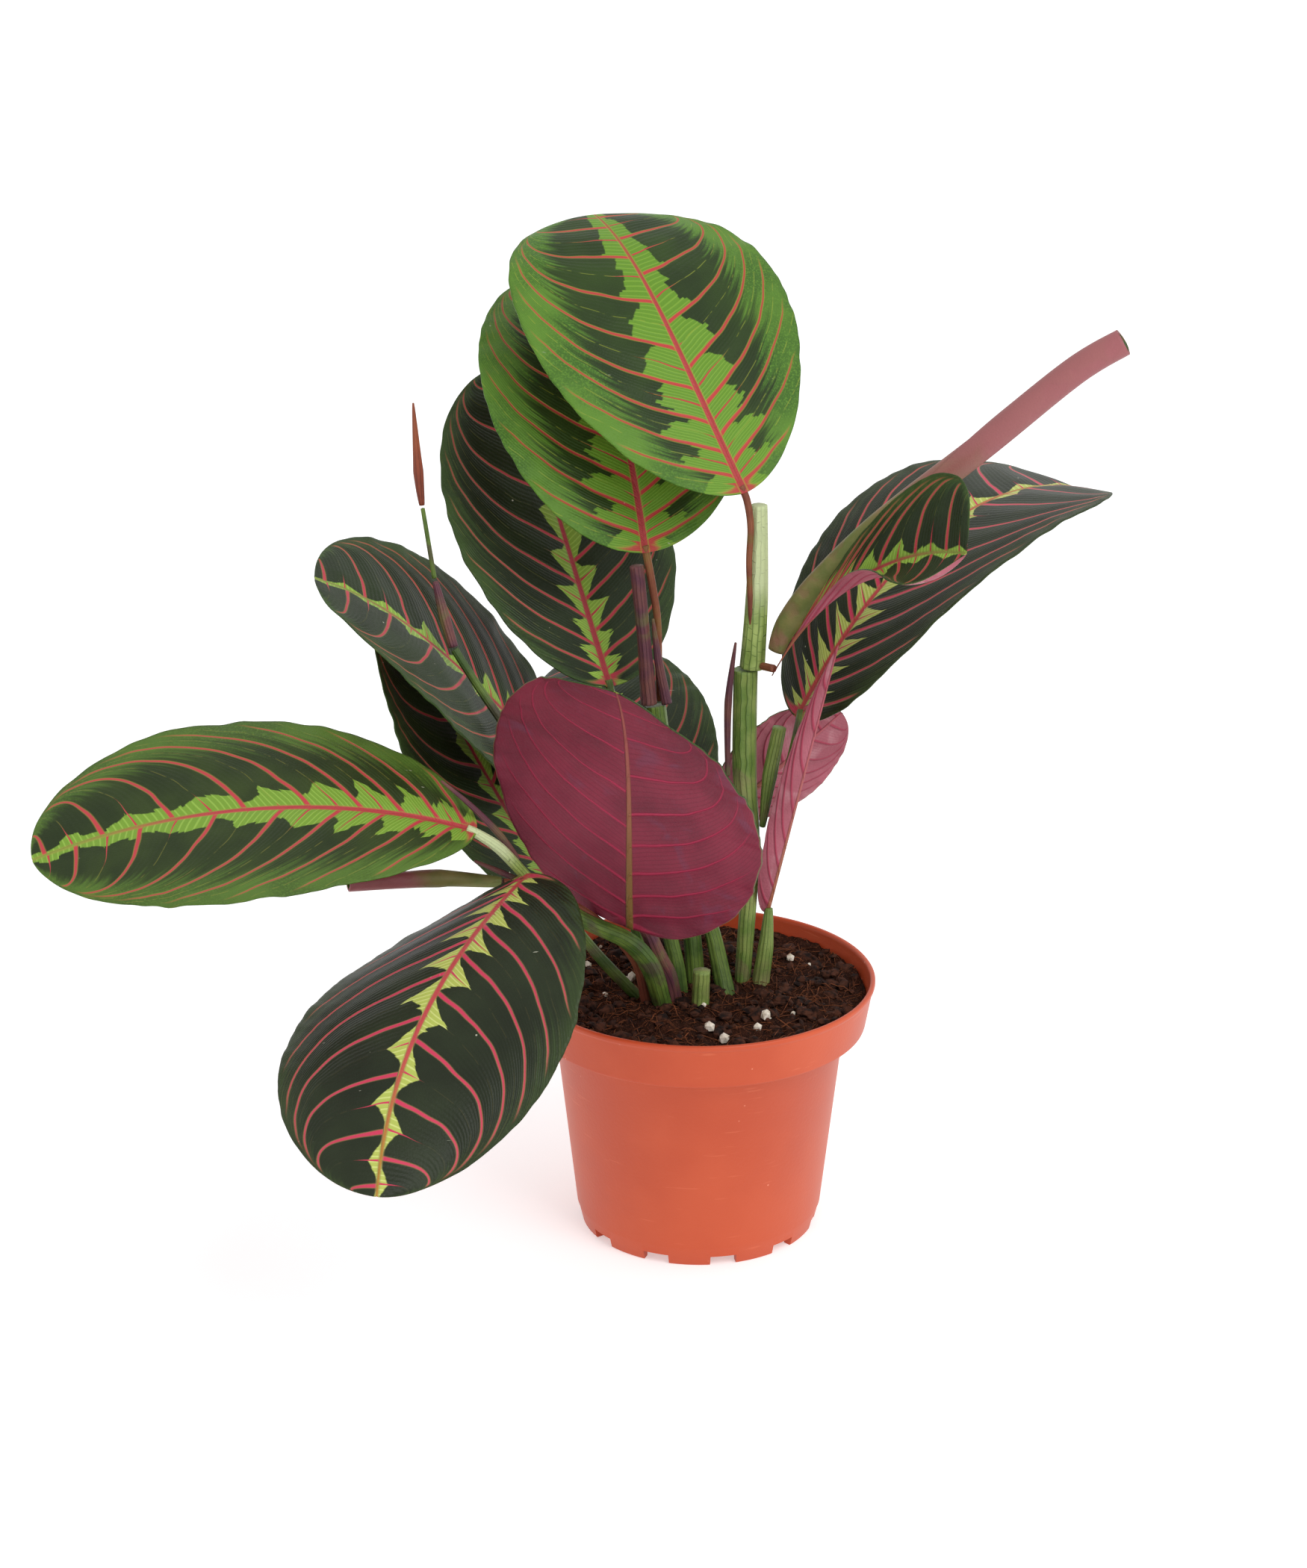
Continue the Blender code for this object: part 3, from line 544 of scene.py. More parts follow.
def leafFace(name, look):
    # Waxy upper side: satin green with dark patches, a pale feather along the midrib and raised red veins.
    made, tree, shader, spot, marks, phase, swing, distance = leafSkin(name, look["roughness"])
    away, edge, along = marks["away"], marks["edge"], marks["along"]
    slim = addNode(tree, "MapRange", {"Value": edge, "To Min": look["vein"],
                                      "To Max": look["vein"] * 0.25})["Result"]
    ends = softStep(tree, edge, 0.97, 0.88)
    vein = addNode(tree, "Math", {0: lineMask(tree, distance, slim, 0.22), 1: ends},
                   operation="MULTIPLY")[0]
    wide = addNode(tree, "Math", {0: slim, 1: 0.16}, operation="ADD")[0]
    glow = addNode(tree, "Math", {0: lineMask(tree, distance, wide, 0.3), 1: ends}, operation="MULTIPLY")[0]
    # Short veinlets halfway between the side veins, each of its own length.
    between = addNode(tree, "Math", {0: 0.5, 1: swing}, operation="SUBTRACT")[0]
    midway = addNode(tree, "Math", {0: between, 1: marks["pace"]}, operation="MULTIPLY")[0]
    stop = addNode(tree, "MapRange", {"Value": diceRoll(tree, phase), "To Min": look["feather"] * 0.2,
                                      "To Max": look["feather"] * 1.5})["Result"]
    left = addNode(tree, "MapRange", {"Value": away, "From Min": 0.0, "From Max": stop, "To Min": 0.42,
                                      "To Max": -0.1}, clamp=False)["Result"]
    veinlet = lineMask(tree, midway, left, 0.12)
    # The pale feather: its teeth are cut along the fine veins, widest beside the lower vein of each pair.
    coarse, small = [diceRoll(tree, repeated(tree, phase, look["teeth"] * step)) for step in (1, 3.7)]
    ragged = addNode(tree, "Math", {0: small, 1: 0.3, 2: coarse}, operation="MULTIPLY_ADD")[0]
    level = addNode(tree, "MapRange", {"Value": ragged, "From Max": 1.3, "To Min": 0.6,
                                       "To Max": 1.15})["Result"]
    upward = addNode(tree, "Math", {0: phase}, operation="FRACT")[0]
    lean = addNode(tree, "Math", {0: upward, 1: -look["lean"], 2: 1.0 + look["lean"] / 2},
                   operation="MULTIPLY_ADD")[0]
    twice = addNode(tree, "Math", {0: swing, 1: 2.0}, operation="MULTIPLY")[0]
    hump = addNode(tree, "Math", {0: twice, 1: 1.6}, operation="POWER")[0]
    hump = addNode(tree, "Math", {0: hump, 1: 1.35}, operation="MULTIPLY")[0]
    pinch = addNode(tree, "Mix", {0: look["pinch"], 2: 1.0, 3: hump})[0]
    limit = addNode(tree, "MapRange", {"Value": along, "From Min": 0.35, "From Max": 1.0,
                                       "To Min": look["feather"],
                                       "To Max": look["feather"] * 0.25})["Result"]
    for part in (level, lean, pinch):
        limit = addNode(tree, "Math", {0: limit, 1: part}, operation="MULTIPLY")[0]
    feather = lineMask(tree, away, limit, 0.3)
    # The dark patch between side veins, streaked where it gives way to the margin.
    slant = addNode(tree, "Math", {0: edge, 1: 2.0}, operation="MULTIPLY")[0]
    streakSpot = addNode(tree, "CombineXYZ", {"X": repeated(tree, phase, 9.0), "Y": slant})[0]
    streak = addNode(tree, "TexNoise", {"Vector": streakSpot, "Scale": 1.0, "Detail": 3.0})["Fac"]
    patchEnd = addNode(tree, "Math", {0: streak, 1: 0.55, 2: look["patch"] - 0.27},
                       operation="MULTIPLY_ADD")[0]
    patch = lineMask(tree, edge, patchEnd, look["patchSoft"])
    # Fine veins about 1.5 mm apart, cells coarse enough to show, and the cloudiness of the whole blade.
    fineWave = addNode(tree, "Math", {0: repeated(tree, phase, 62.0)}, operation="SINE")[0]
    mottle = addNode(tree, "TexNoise", {"Vector": spot, "Scale": 1500.0, "Detail": 3.0})["Fac"]
    cloud = addNode(tree, "TexNoise", {"Vector": spot, "Scale": 45.0, "Detail": 3.0})["Fac"]
    dashes = softStep(tree, addNode(tree, "TexNoise", {"Vector": spot, "Scale": 260.0})["Fac"], 0.42, 0.55)
    hair = addNode(tree, "Math", {0: lineMask(tree, midway, 0.12, 0.12), 1: dashes},
                   operation="MULTIPLY")[0]
    reds = addNode(tree, "Math", {0: vein, 1: veinlet}, operation="MAXIMUM")[0]
    ribHalf = addNode(tree, "MapRange", {"Value": along, "To Min": 1.25, "To Max": 0.3})["Result"]
    ribEdge = addNode(tree, "Math", {0: ribHalf, 1: 0.35}, operation="ADD")[0]
    # Specks of dust in cells of 7 mm, and a few short dry scratches.
    cell = addNode(tree, "TexVoronoi", {"Vector": spot, "Scale": 150.0})
    pick = addNode(tree, "SeparateColor", {"Color": cell["Color"]})["Red"]
    speck = addNode(tree, "Math", {0: softStep(tree, pick, look["dust"], look["dust"] + 0.02),
                                   1: softStep(tree, cell["Distance"], 0.06, 0.03)},
                                   operation="MULTIPLY")[0]
    streaks = addNode(tree, "Mapping", {"Vector": spot, "Rotation": (0.3, 0.5, 0.9),
                                        "Scale": (70.0, 900.0, 900.0)})[0]
    scratch = softStep(tree, addNode(tree, "TexNoise", {"Vector": streaks, "Scale": 1.0})["Fac"], 0.76,
                       0.79)
    worn = softStep(tree, addNode(tree, "TexNoise", {"Vector": spot, "Scale": 32.0})["Fac"], 0.54, 0.6)
    scratch = addNode(tree, "Math", {0: scratch, 1: worn}, operation="MULTIPLY")[0]
    damage = addNode(tree, "Math", {0: speck, 1: scratch}, operation="MAXIMUM")[0]
    margin = paintOver(tree, look["margin"], [(softStep(tree, cloud, 0.35, 0.65), 1.0, look["margin2"]),
                                              (softStep(tree, mottle, 0.45, 0.7), 1.0, look["margin2"])])
    dark = paintOver(tree, look["dark"], [(softStep(tree, cloud, 0.3, 0.7), 1.0, look["dark2"])])
    pale = paintOver(tree, look["pale"], [(softStep(tree, fineWave, 0.4, 1.0), 1.0, look["pale2"])])
    red = paintOver(tree, look["red"], [(edge, 1.0, look["red2"])])
    ribColor = paintOver(tree, look["rib"], [(softStep(tree, along, 0.55, 0.95), 1.0, look["rib2"])])
    color = paintOver(tree, margin, [
        (patch, 1.0, dark), (feather, 1.0, pale), (hair, look["hair"], look["glow"]),
        (glow, 0.75, look["glow"]),
        (reds, 1.0, red), (lineMask(tree, away, ribEdge, 0.3), 0.6, look["glow"]),
        (lineMask(tree, away, ribHalf, 0.2), 1.0, ribColor), (damage, 0.7, "c9c8b4")])
    height = addNode(tree, "Math", {0: fineWave, 1: 0.25, 2: mottle}, operation="MULTIPLY_ADD")[0]
    height = addNode(tree, "Math", {0: reds, 1: -1.2, 2: height}, operation="MULTIPLY_ADD")[0]
    bump = addNode(tree, "Bump", {"Height": height, "Strength": 0.5, "Distance": 0.00025})[0]
    gloss = addNode(tree, "MapRange", {"Value": cloud, "To Min": look["roughness"] - 0.06,
                                       "To Max": look["roughness"] + 0.08})["Result"]
    finishShader(tree, shader, color, bump, gloss)
    return made


def leafBack(name, look):
    # Matt underside: wine red or rose with soft patches of painted purple-grey sheen, brighter side veins
    # and a raised tan midrib.
    made, tree, shader, spot, marks, phase, swing, distance = leafSkin(name, 0.5)
    away, edge, along = marks["away"], marks["edge"], marks["along"]
    slim = addNode(tree, "MapRange", {"Value": edge, "To Min": look["half"], "To Max": 0.15})["Result"]
    vein = addNode(tree, "Math", {0: lineMask(tree, distance, slim, 0.3),
                                  1: softStep(tree, edge, 0.97, 0.85)},
                   operation="MULTIPLY")[0]
    cloud = addNode(tree, "TexNoise", {"Vector": spot, "Scale": 38.0, "Detail": 4.0})["Fac"]
    # Painted sheen: soft noise patches of a lighter purple-grey laid into the colour, standing in for light
    # glancing off the blade.
    sheenPatches = addNode(tree, "TexNoise", {"Vector": spot, "Scale": 60.0, "Detail": 5.0,
                                      "Distortion": 1.0})["Fac"]
    fineWave = addNode(tree, "Math", {0: repeated(tree, phase, 44.0)}, operation="SINE")[0]
    ribHalf = addNode(tree, "MapRange", {"Value": along, "To Min": 1.3, "To Max": 0.35})["Result"]
    rib = lineMask(tree, away, ribHalf, 0.25)
    ribColor = paintOver(tree, look["rib"], [(softStep(tree, along, 0.0, 0.8), 1.0, look["rib2"])])
    color = paintOver(tree, look["base"], [
        (softStep(tree, cloud, 0.32, 0.68), 1.0, look["base2"]), (softStep(tree, sheenPatches, 0.55, 0.7), 0.45,
                                                                  look["paintedSheen"]),
        (softStep(tree, fineWave, 0.6, 1.0), 0.35, look["line"]), (vein, 1.0, look["vein"]),
        (rib, 1.0, ribColor),
        (softStep(tree, edge, 0.99, 1.0), 1.0, look["rim"])])
    mottle = addNode(tree, "TexNoise", {"Vector": spot, "Scale": 1200.0, "Detail": 3.0})["Fac"]
    height = addNode(tree, "Math", {0: vein, 1: 2.0, 2: mottle}, operation="MULTIPLY_ADD")[0]
    height = addNode(tree, "Math", {0: rib, 1: 4.0, 2: height}, operation="MULTIPLY_ADD")[0]
    bump = addNode(tree, "Bump", {"Height": height, "Strength": 0.6, "Distance": 0.0003})[0]
    gloss = addNode(tree, "MapRange", {"Value": cloud, "To Min": 0.42, "To Max": 0.58})["Result"]
    finishShader(tree, shader, color, bump, gloss)
    return made


faceLooks = {
    "bright": dict(dust=0.94, roughness=0.45, vein=0.72, feather=14.5, teeth=2.3, pinch=0.05, lean=0.7,
                   patch=0.66, patchSoft=0.1, hair=0.5, margin="3a5f1c", margin2="557c27", dark="1d2e0c",
                   dark2="2a3f11", pale="5b8422", pale2="6f952f", glow="8f9a35", red="b03a38",
                   red2="a23f36", rib="a43c3c", rib2="9a5634"),
    "green": dict(dust=0.93, roughness=0.45, vein=0.7, feather=11.0, teeth=2.6, pinch=0.4, lean=0.5,
                  patch=0.72, patchSoft=0.16, hair=0.35, margin="40591f", margin2="506d28", dark="202d10",
                  dark2="303f17", pale="6f9230", pale2="86a844", glow="8f8a3c", red="b43b42", red2="aa3f40",
                  rib="ae3f42", rib2="84903a"),
    "dark": dict(dust=0.88, roughness=0.42, vein=0.62, feather=8.5, teeth=3.2, pinch=0.75, lean=0.3,
                 patch=0.85, patchSoft=0.14, hair=0.2, margin="2c3f1a", margin2="364c20", dark="18230c",
                 dark2="223014", pale="7fa03a", pale2="97b84e", glow="80803c", red="b43545", red2="a73a42",
                 rib="a63a40", rib2="808a3c"),
    "black": dict(dust=0.82, roughness=0.42, vein=0.72, feather=9.5, teeth=4.0, pinch=0.97, lean=0.0,
                  patch=0.9, patchSoft=0.14, hair=0.08, margin="293619", margin2="32411f", dark="181f0e",
                  dark2="232c17", pale="a9b455", pale2="c3cb78", glow="8c7c48", red="c23655", red2="b93d50",
                  rib="b84648", rib2="a87a30"),
}
# The lighter purple-grey tint in each underside look is painted sheen.
backLooks = {
    "wine": dict(base="6a2133", base2="832c40", paintedSheen="6e3e56", line="571a2b", vein="a02a48", rib="7c6030",
                 rib2="98504a", rim="7a6a4c", half=0.62),
    "pink": dict(base="97505c", base2="ad606e", paintedSheen="bd8c92", line="854050", vein="a03a50", rib="985c44",
                 rib2="a8545e", rim="84955e", half=0.5),
}
leafFinishes = {name: leafFace("prayer plant leaf, " + name, look) for name, look in faceLooks.items()}
leafFinishes.update({name: leafBack("leaf underside, " + name, look) for name, look in backLooks.items()})
for node, given in leafSetup.items():
    buildLeaf(node, given, leafFinishes)
print("leaves made")

# Stems: ribbed tubes along a smooth route. Planted ones start below the soil.
stemSetup = {
    "cane_a": dict(route=[(15, 8, 85), (17, 8.5, 121), (17, 9, 137), (15, 9, 161), (15, 9, 197)],
                   radii=(2.7, 3.0, 3.3, 4.0, 4.0), planted=True, look="ribbed"),
    "sheath_a": dict(route=[(17.3, 9, 197.6), (18.6, 9, 222), (19, 9, 254)], radii=(4.2, 3.7, 2.7),
                     look="sheath"),
    "petiole_a": dict(route=[(16.8, 6.6, 212), (15.8, 5.5, 234), (16.2, 5.3, 247), (15, 5.8, 256), (12.9, 6,
                      261.3)], radii=(0.8, 1.0, 1.1, 1.2, 1.2), look="petiole"),
    "bract_a": dict(route=[(9.3, 7, 160), (9.3, 7, 186), (11.6, 7, 207)], radii=(0.8, 1.3, 0.4),
                    look="bract"),
    "sheath_j": dict(route=[(21.2, 8.4, 141), (23.5, 7.0, 160), (26.6, 7.2, 177)], radii=(1.0, 2.5, 2.3),
                     look="ribbed", slot="pale_sheath"),
    "petiole_j": dict(route=[(22.0, 7.4, 130), (26.8, 2.4, 154), (31.0, 3.4, 170), (34.0, 12.6, 181.2)],
                      radii=(1.0, 1.3, 1.4, 1.3), look="cane"),
    "pulvinus_l": dict(route=[(20.6, 5.0, 199.4), (24.1, -0.2, 200.3)], radii=(1.3, 1.3), look="petiole"),
    "petiole_m": dict(route=[(21.1, 5.7, 85), (22.8, 6.2, 98), (23.7, 7.7, 111.4)], radii=(3.0, 2.6, 1.3),
                      planted=True, look="ribbed"),
    "petiole_n": dict(route=[(13.8, 11.8, 132), (10.2, 19, 137), (9.2, 22.2, 139.4)], radii=(1.3, 1.2, 1.1),
                      look="petiole"),
    "cane_b": dict(route=[(-1.1, 5.9, 85), (-3, 9, 105), (-9, 13, 141), (-13, 16, 167), (-15, 18, 181)],
                   radii=(3.2, 3.0, 3.0, 3.2, 3.4), planted=True, look="cane"),
    "sheath_b": dict(route=[(-17.2, 17.2, 181.9), (-19, 18, 206), (-21.3, 19, 230)], radii=(2.8, 2.2, 2.4),
                     look="bract", slot="pale_sheath"),
    "petiole_b": dict(route=[(-13.8, 20.6, 181.9), (-14.2, 20.4, 208), (-16, 20.2, 222), (-18.6, 20,
                      236.8)], radii=(1.1, 1.2, 1.3, 1.3), look="petiole"),
    "bract_b": dict(route=[(-11.2, 17, 182.2), (-14.0, 17.4, 197), (-15.9, 17.5, 212)],
                    radii=(1.8, 1.4, 0.4), look="bract"),
    "petiole_c": dict(route=[(-6.9, 1.1, 85), (-8.5, 3, 96), (-15, 9, 121), (-24, 18, 155), (-31.1, 27.4,
                      187)], radii=(2.9, 2.6, 2.2, 1.7, 1.4), planted=True, look="cane"),
    "petiole_d": dict(route=[(-12, 11, 85), (-20, 12, 105), (-32, 14, 125), (-42, 22, 145), (-50.4, 27.6,
                      157.4)], radii=(2.2, 2.0, 1.7, 1.5, 1.3), planted=True, look="cane"),
    "petiole_e": dict(route=[(-22.1, -4.9, 85), (-31, -5, 95), (-37, -4, 102), (-44, 1, 110), (-49.8, 5.6,
                      119.4)], radii=(2.0, 2.0, 1.8, 1.5, 1.3), planted=True, look="cane"),
    "cane_f": dict(route=[(-12.7, -13.8, 85), (-16.5, -18, 100), (-24, -23, 112), (-38, -32, 123), (-49,
                   -41.5, 135), (-56.5, -46.5, 144)], radii=(3.2, 3.4, 3.0, 2.6, 2.2, 2.0), planted=True,
                   look="cane"),
    "petiole_f": dict(route=[(-56.8, -46.7, 144.5), (-65, -49, 155), (-71, -50, 160), (-75.9, -50, 162.7)],
                      radii=(1.8, 1.9, 1.6, 1.4), look="sheath"),
    "sheath_f": dict(route=[(-59.6, -44.8, 150), (-66, -44.4, 159), (-75, -46, 169.5), (-84, -47, 178)],
                     radii=(0.8, 1.2, 0.9, 0.4), look="bract"),
    "bract_f": dict(route=[(-57.2, -44.4, 141.5), (-66, -44, 145.5), (-74, -43.5, 149)],
                    radii=(1.0, 0.9, 0.4), look="bract"),
    "pulvinus_g": dict(route=[(-57.0, -49.8, 143.5), (-58.2, -51.5, 145.2)], radii=(1.3, 1.2),
                       look="petiole"),
    "sheath_h": dict(route=[(-9, -8, 85), (-10.8, -9.8, 94), (-13.5, -12.5, 101), (-17.5, -16, 112), (-20.1,
                     -18.8, 117)], radii=(3.0, 2.9, 2.8, 2.4, 1.7), planted=True, look="bract"),
    "pulvinus_h": dict(route=[(-20.9, -19.6, 118), (-22.9, -22.3, 119.3)], radii=(1.5, 1.3),
                       look="petiole"),
    "petiole_i": dict(route=[(8.7, -0.2, 85), (4, 8, 104), (-3, 19, 121), (-10.6, 29.2, 131.2)],
                      radii=(3.2, 2.6, 1.9, 1.3), planted=True, look="cane"),
    "petiole_p": dict(route=[(-18.2, -11.9, 85), (-22, -13, 101), (-34, -18, 117), (-49, -24, 129), (-61,
                      -28, 134.6), (-65.4, -30, 136)], radii=(1.7, 1.7, 1.5, 1.4, 1.3, 1.3), planted=True,
                      look="petiole"),
    "flower_stalk": dict(route=[(-15.5, 3, 85), (-24, 2, 112), (-38, -1, 140), (-49, -4, 158), (-60, -4,
                         174), (-72, 0, 191), (-81.7, 3.8, 205.6)], radii=(1.9, 1.8, 1.7, 1.6, 1.5, 1.4,
                         1.3), planted=True, look="cane"),
    "bract_lower": dict(route=[(-82, 4, 206.2), (-85, 7, 216), (-88, 10, 227.5)], radii=(1.6, 1.9, 0.9),
                        look="bract"),
    "flower_stalk_top": dict(route=[(-88.2, 10.2, 228.2), (-92, 15.8, 251)], radii=(0.8, 0.7), look="cane"),
    "bract_upper": dict(route=[(-92.2, 16, 251.8), (-93.2, 17, 263), (-94.6, 20, 285.5)],
                        radii=(0.9, 1.7, 0.3), look="spear"),
    "cut_stub": dict(route=[(0.2, -14.4, 85), (0.6, -14.4, 98)], radii=(2.9, 2.9), planted=True,
                     look="ribbed"),
}
rolledSetup = {
    "leaf_k": dict(route=[(25.0, 4.6, 205), (28.8, 4.4, 214.5), (38.2, 1.2, 228.5), (58, -8, 252), (91, -18,
                   283), (117, -24, 307), (132, -26, 317)], radii=(2.6, 3.8, 4.3, 4.5, 4.4, 4.3, 4.2),
                   turn=-300, start=200),
    "leaf_p": dict(route=[(-66.1, -30.3, 136.2), (-86, -34, 139), (-100, -38, 140), (-115, -44, 141)],
                   radii=(1.6, 2.8, 2.5, 2.3), turn=-200, start=120),
}
stemMarks = ("around", "travel", "part")


def smoothRoute(route, radii, steps=24):
    points = [Vector(point) for point in route]
    made = []
    for i in range(len(points) - 1):
        before, after = points[max(i - 1, 0)], points[min(i + 2, len(points) - 1)]
        start, end = points[i], points[i + 1]
        for k in range(steps):
            t = k / steps
            bend = 2 * before - 5 * start + 4 * end - after
            spot = 0.5 * (2 * start + (end - before) * t + bend * t * t
                          + (3 * start - before - 3 * end + after) * t ** 3)
            made.append((spot, radii[i] + (radii[i + 1] - radii[i]) * t))
    made.append((points[-1], radii[-1]))
    return made


def routeFrames(path):
    # Each point with its distance along, its radius and two sideways directions that don't spin.
    found, travel = [], 0.0
    side = None
    for i, (spot, radius) in enumerate(path):
        ahead = (path[min(i + 1, len(path) - 1)][0] - path[max(i - 1, 0)][0]).normalized()
        if side is None:
            side = ahead.cross(Vector((0, 1, 0))).normalized()
        side = (side - ahead * side.dot(ahead)).normalized()
        if i:
            travel += (spot - path[i - 1][0]).length
        found.append((travel, spot, radius, side, ahead.cross(side)))
    return found


def onRoute(found, travel):
    low, high = 0, len(found) - 1
    while high - low > 1:
        middle = (low + high) // 2
        if found[middle][0] <= travel:
            low = middle
        else:
            high = middle
    first, second = found[low], found[high]
    part = (travel - first[0]) / max(second[0] - first[0], 1e-6)
    part = min(max(part, 0), 1)
    return [first[k] + (second[k] - first[k]) * part for k in (1, 2, 3, 4)]


def buildStem(node, stem, finishes):
    route, radii = [Vector(point) for point in stem["route"]], list(stem["radii"])
    if stem.get("planted"):
        ahead = (route[1] - route[0]).normalized()
        route.insert(0, route[0] - ahead * 9)
        radii.insert(0, radii[0])
    found = routeFrames(smoothRoute(route, radii))
    length = found[-1][0]

    def place(u, v):
        cap = 0.03
        travel = length * min(max((u - cap) / (1 - 2 * cap), 0), 1)
        shrink = 1.0
        for ending in (u, 1 - u):
            if ending < cap:
                shrink = math.sqrt(max(1 - ((cap - ending) / cap) ** 2, 0))
        spot, radius, side, up = onRoute(found, travel)
        turn = 2 * math.pi * v
        rib = 1 + 0.035 * math.cos(9 * turn + travel * 0.02)
        bend = side * math.cos(turn) + up * math.sin(turn)
        return spot + bend * radius * rib * shrink, (v, travel, travel / length)

    bm = sheetMesh(max(24, int(length * 1.1)), 54, place, stemMarks)
    return addPiece(node.replace("_", "") + "Stem", bm, [finishes[stem["look"]]], [node])


def buildRolled(node, rolled, finishes):
    found = routeFrames(smoothRoute(rolled["route"], rolled["radii"]))
    length = found[-1][0]
    turns = 2.2

    def place(u, v):
        spot, radius, side, up = onRoute(found, length * u)
        turn = math.radians(rolled["start"] + rolled["turn"] * u) + 2 * math.pi * turns * v
        size = radius * (1.06 - 0.28 * v) * (1 + 0.02 * math.sin(3 * turn + u * 9))
        ragged = 0.8 * noise.noise(Vector((v * 7, u * 2, 0))) * u ** 12
        bend = side * math.cos(turn) + up * math.sin(turn)
        return spot + bend * size + side.cross(up) * ragged, (v, length * u, u)

    bm = sheetMesh(150, 110, place, stemMarks)
    bmesh.ops.reverse_faces(bm, faces=bm.faces)
    return addPiece(node.replace("_", "") + "Roll", bm, [finishes["rolledOutside"],
                                                         finishes["rolledInside"]], [node],
                    dict(thickness=0.35, inside=1))


def stemSkin(name, look):
    # Fleshy or papery skin: long ribs, a net of cross veins where it is thin, purple or brown stains.
    made, tree, shader = newMaterial(name, look["roughness"], 0.3)
    spot = addNode(tree, "TexCoord")["Object"]
    around, travel, part = [addNode(tree, "Attribute", attribute_name=mark)["Fac"] for mark in stemMarks]
    drift = addNode(tree, "TexNoise", {"Vector": spot, "Scale": 120.0, "Detail": 2.0})["Fac"]
    lines = addNode(tree, "Math", {0: around, 1: look["lines"], 2: drift}, operation="MULTIPLY_ADD")[0]
    rib = softStep(tree, addNode(tree, "Math", {0: lines, 1: 0.5}, operation="PINGPONG")[0], 0.16, 0.02)
    # Cross veins join the long ones at uneven heights, about 4 mm apart.
    scatter = addNode(tree, "Math", {0: diceRoll(tree, lines), 1: 7.0}, operation="MULTIPLY")[0]
    wander = addNode(tree, "Math", {0: drift, 1: 2.2, 2: scatter}, operation="MULTIPLY_ADD")[0]
    rungs = addNode(tree, "Math", {0: travel, 1: 0.26, 2: wander}, operation="MULTIPLY_ADD")[0]
    rung = softStep(tree, addNode(tree, "Math", {0: rungs, 1: 0.5}, operation="PINGPONG")[0], 0.05, 0.0)
    rung = addNode(tree, "Math", {0: rung, 1: look["rungs"]}, operation="MULTIPLY")[0]
    net = addNode(tree, "Math", {0: rib, 1: rung}, operation="MAXIMUM")[0]
    cloud = addNode(tree, "TexNoise", {"Vector": spot, "Scale": 110.0, "Detail": 4.0})["Fac"]
    stain = addNode(tree, "TexNoise", {"Vector": spot, "Scale": 55.0, "Detail": 3.0,
                                       "Distortion": 0.8})["Fac"]
    # Towards the far end the skin turns to its second tint.
    change = softStep(tree, addNode(tree, "Math", {0: stain, 1: 0.5, 2: part}, operation="MULTIPLY_ADD")[0],
                      look["turnAt"] + 0.25, look["turnAt"] + 0.6)
    color = paintOver(tree, look["base"], [
        (softStep(tree, cloud, 0.35, 0.65), 1.0, look["base2"]), (net, look["netAmount"], look["net"]),
        (softStep(tree, stain, 0.52, 0.66), look["stainAmount"], look["stain"]),
        (change, look["turnAmount"], look["far"])])
    hair = addNode(tree, "TexNoise", {"Vector": spot, "Scale": 1800.0, "Detail": 2.0})["Fac"]
    height = addNode(tree, "Math", {0: net, 1: -1.0, 2: hair}, operation="MULTIPLY_ADD")[0]
    finishShader(tree, shader, color,
                 addNode(tree, "Bump", {"Height": height, "Strength": 0.5, "Distance": 0.00025})[0])
    return made


skinDefaults = dict(rungs=0.0, turnAt=0.0, turnAmount=0.0, far="000000")
skinLooks = {
    "cane": dict(roughness=0.45, lines=14.0, netAmount=0.5, base="3c5420", base2="5f7530", net="273615",
                 stain="4a2c38", stainAmount=0.55),
    "ribbed": dict(roughness=0.45, lines=13.0, rungs=0.25, netAmount=0.65, base="66803a", base2="869650",
                   net="3c5522", stain="8a5a60", stainAmount=0.3),
    "sheath": dict(roughness=0.5, lines=12.0, rungs=1.0, netAmount=0.7, base="7d9348", base2="9cae62",
                   net="486228", stain="8a9a50", stainAmount=0.4, turnAt=0.2, turnAmount=0.7, far="ccd5aa"),
    "petiole": dict(roughness=0.5, lines=10.0, netAmount=0.25, base="743f2e", base2="875036", net="4c2c1e",
                    stain="74702f", stainAmount=0.4),
    "bract": dict(roughness=0.5, lines=12.0, netAmount=0.5, base="5a3340", base2="70443f", net="38202a",
                  stain="66703a", stainAmount=0.5),
    "spear": dict(roughness=0.5, lines=8.0, netAmount=0.4, base="5f2c24", base2="7c3a24", net="3a1a18",
                  stain="8a5a3a", stainAmount=0.3, turnAt=0.3, turnAmount=0.6, far="8f4a2c"),
    "rolledOutside": dict(roughness=0.5, lines=2.0, netAmount=0.25, base="626a34", base2="7a7442",
                          net="8c4852", stain="8a5a4e", stainAmount=0.6, turnAt=0.3, turnAmount=0.9,
                          far="96565c"),
    "rolledInside": dict(roughness=0.5, lines=6.0, netAmount=0.2, base="35491f", base2="4b6329",
                         net="a84a52", stain="628035", stainAmount=0.4),
}
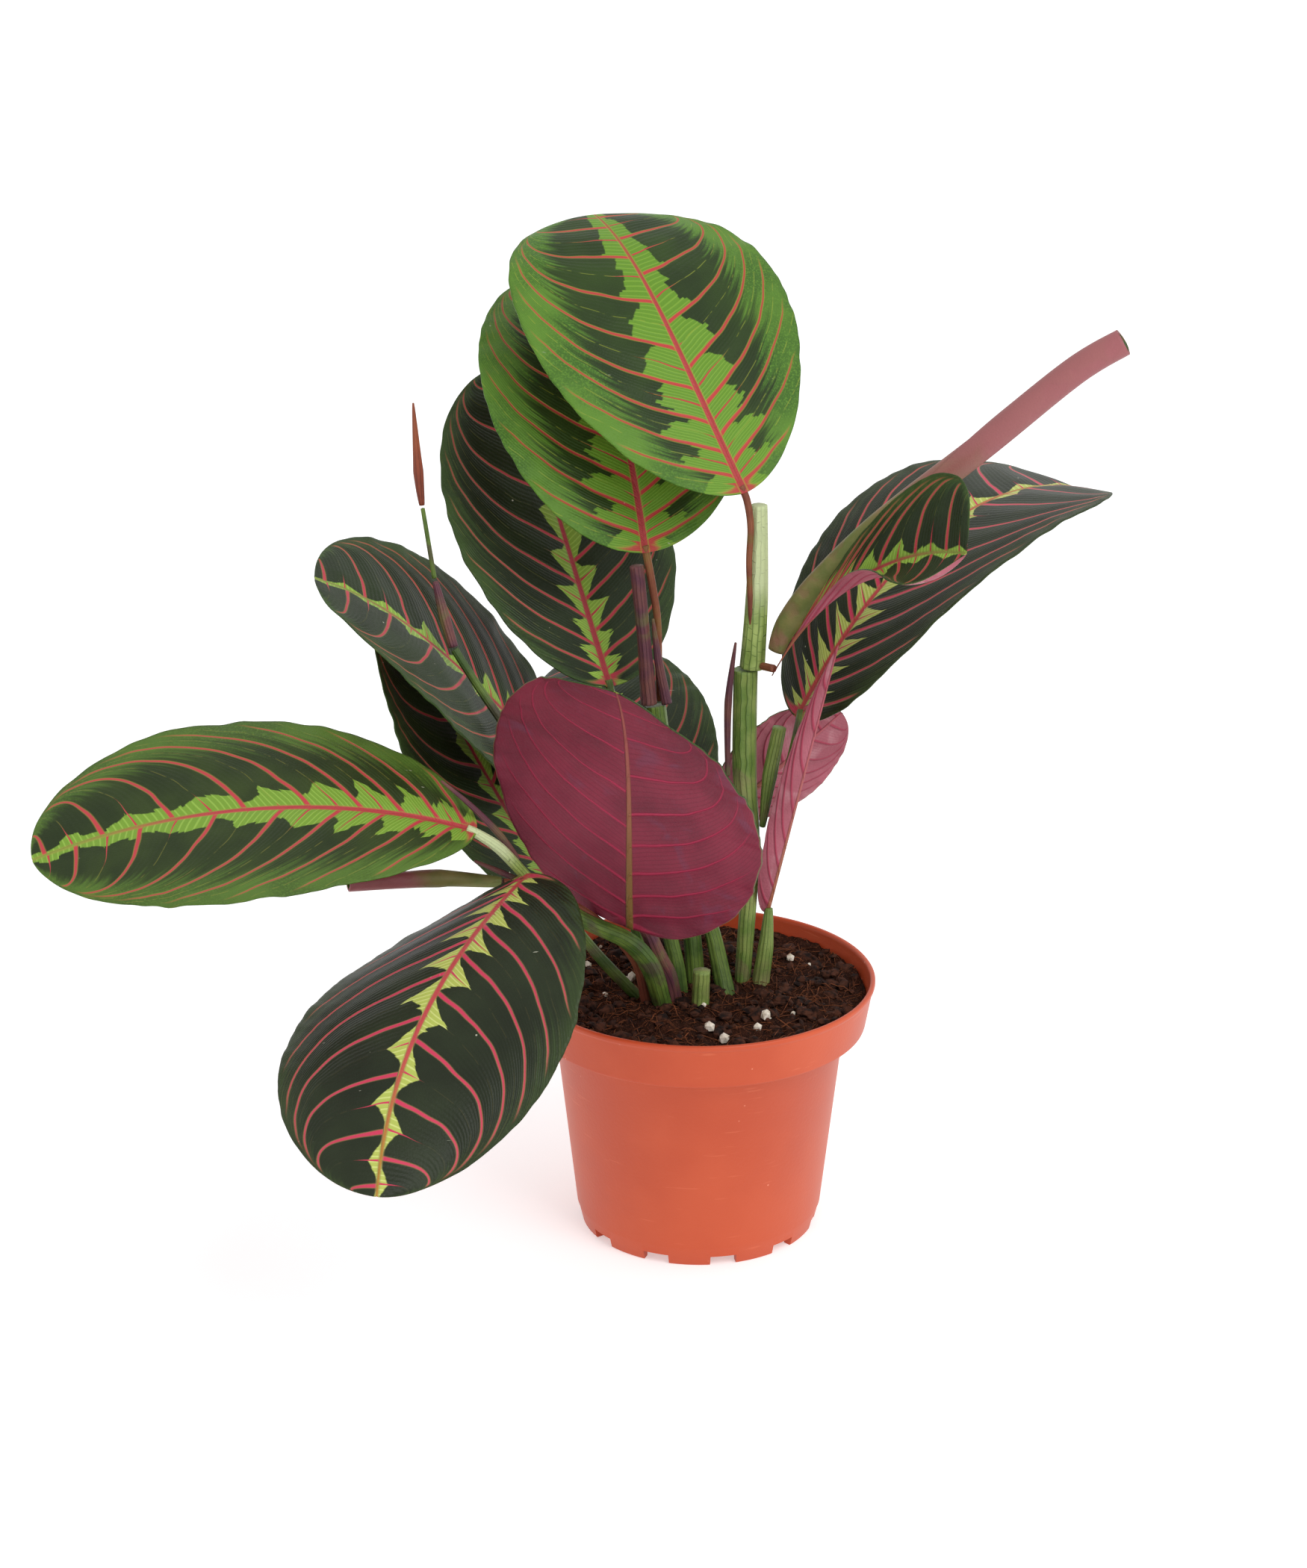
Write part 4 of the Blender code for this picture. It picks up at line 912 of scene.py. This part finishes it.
skinNames = dict(cane="ribbed stem skin", ribbed="stem wrapped in a green sheath",
                 sheath="thin pale leaf sheath", petiole="petiole skin", bract="purple bract",
                 spear="dry flower spear", rolledOutside="rolled leaf, outside",
                 rolledInside="rolled leaf, inside")
skinFinishes = {name: stemSkin(skinNames[name], {**skinDefaults, **look})
                for name, look in skinLooks.items()}
for node, stem in stemSetup.items():
    buildStem(node, stem, skinFinishes)
for node, rolled in rolledSetup.items():
    buildRolled(node, rolled, skinFinishes)
print("stems made")

# Studio: a pale floor, a large soft light and a bright room.
stageSetup = dict(floor="e2e2e2", glow=0.42, size=6.0, keyPlace=(0.9, -1.1, 1.5), keySize=1.0, keyPower=15,
                  room=0.96)
bm = bmesh.new()
bmesh.ops.create_grid(bm, x_segments=2, y_segments=2, size=stageSetup["size"])
floorMesh = bpy.data.meshes.new("floor")
bm.to_mesh(floorMesh)
bm.free()
floor = bpy.data.objects.new("studioFloor", floorMesh)
bpy.context.scene.collection.objects.link(floor)
floorPaint, floorTree, floorShader = newMaterial("matt opal acrylic, lit from below", 0.9, 0.1)
floorShader.inputs["Base Color"].default_value = hexColor(stageSetup["floor"])
floorShader.inputs["Emission Color"].default_value = (1, 1, 1, 1)
floorShader.inputs["Emission Strength"].default_value = stageSetup["glow"]
floorMesh.materials.append(floorPaint)

keyLight = bpy.data.lights.new("keyLight", "AREA")
keyLight.energy = stageSetup["keyPower"]
keyLight.size = stageSetup["keySize"]
key = bpy.data.objects.new("keyLight", keyLight)
bpy.context.scene.collection.objects.link(key)
key.location = potAxis + Vector(stageSetup["keyPlace"])
key.rotation_euler = (potAxis + Vector((0, 0, 0.15)) - key.location).to_track_quat("-Z", "Y").to_euler()

world = bpy.data.worlds.new("studio")
world.use_nodes = True
world.node_tree.nodes["Background"].inputs["Color"].default_value = (1, 1, 1, 1)
world.node_tree.nodes["Background"].inputs["Strength"].default_value = stageSetup["room"]
bpy.context.scene.world = world
bpy.context.scene.view_settings.view_transform = "Standard"
print("studio made")
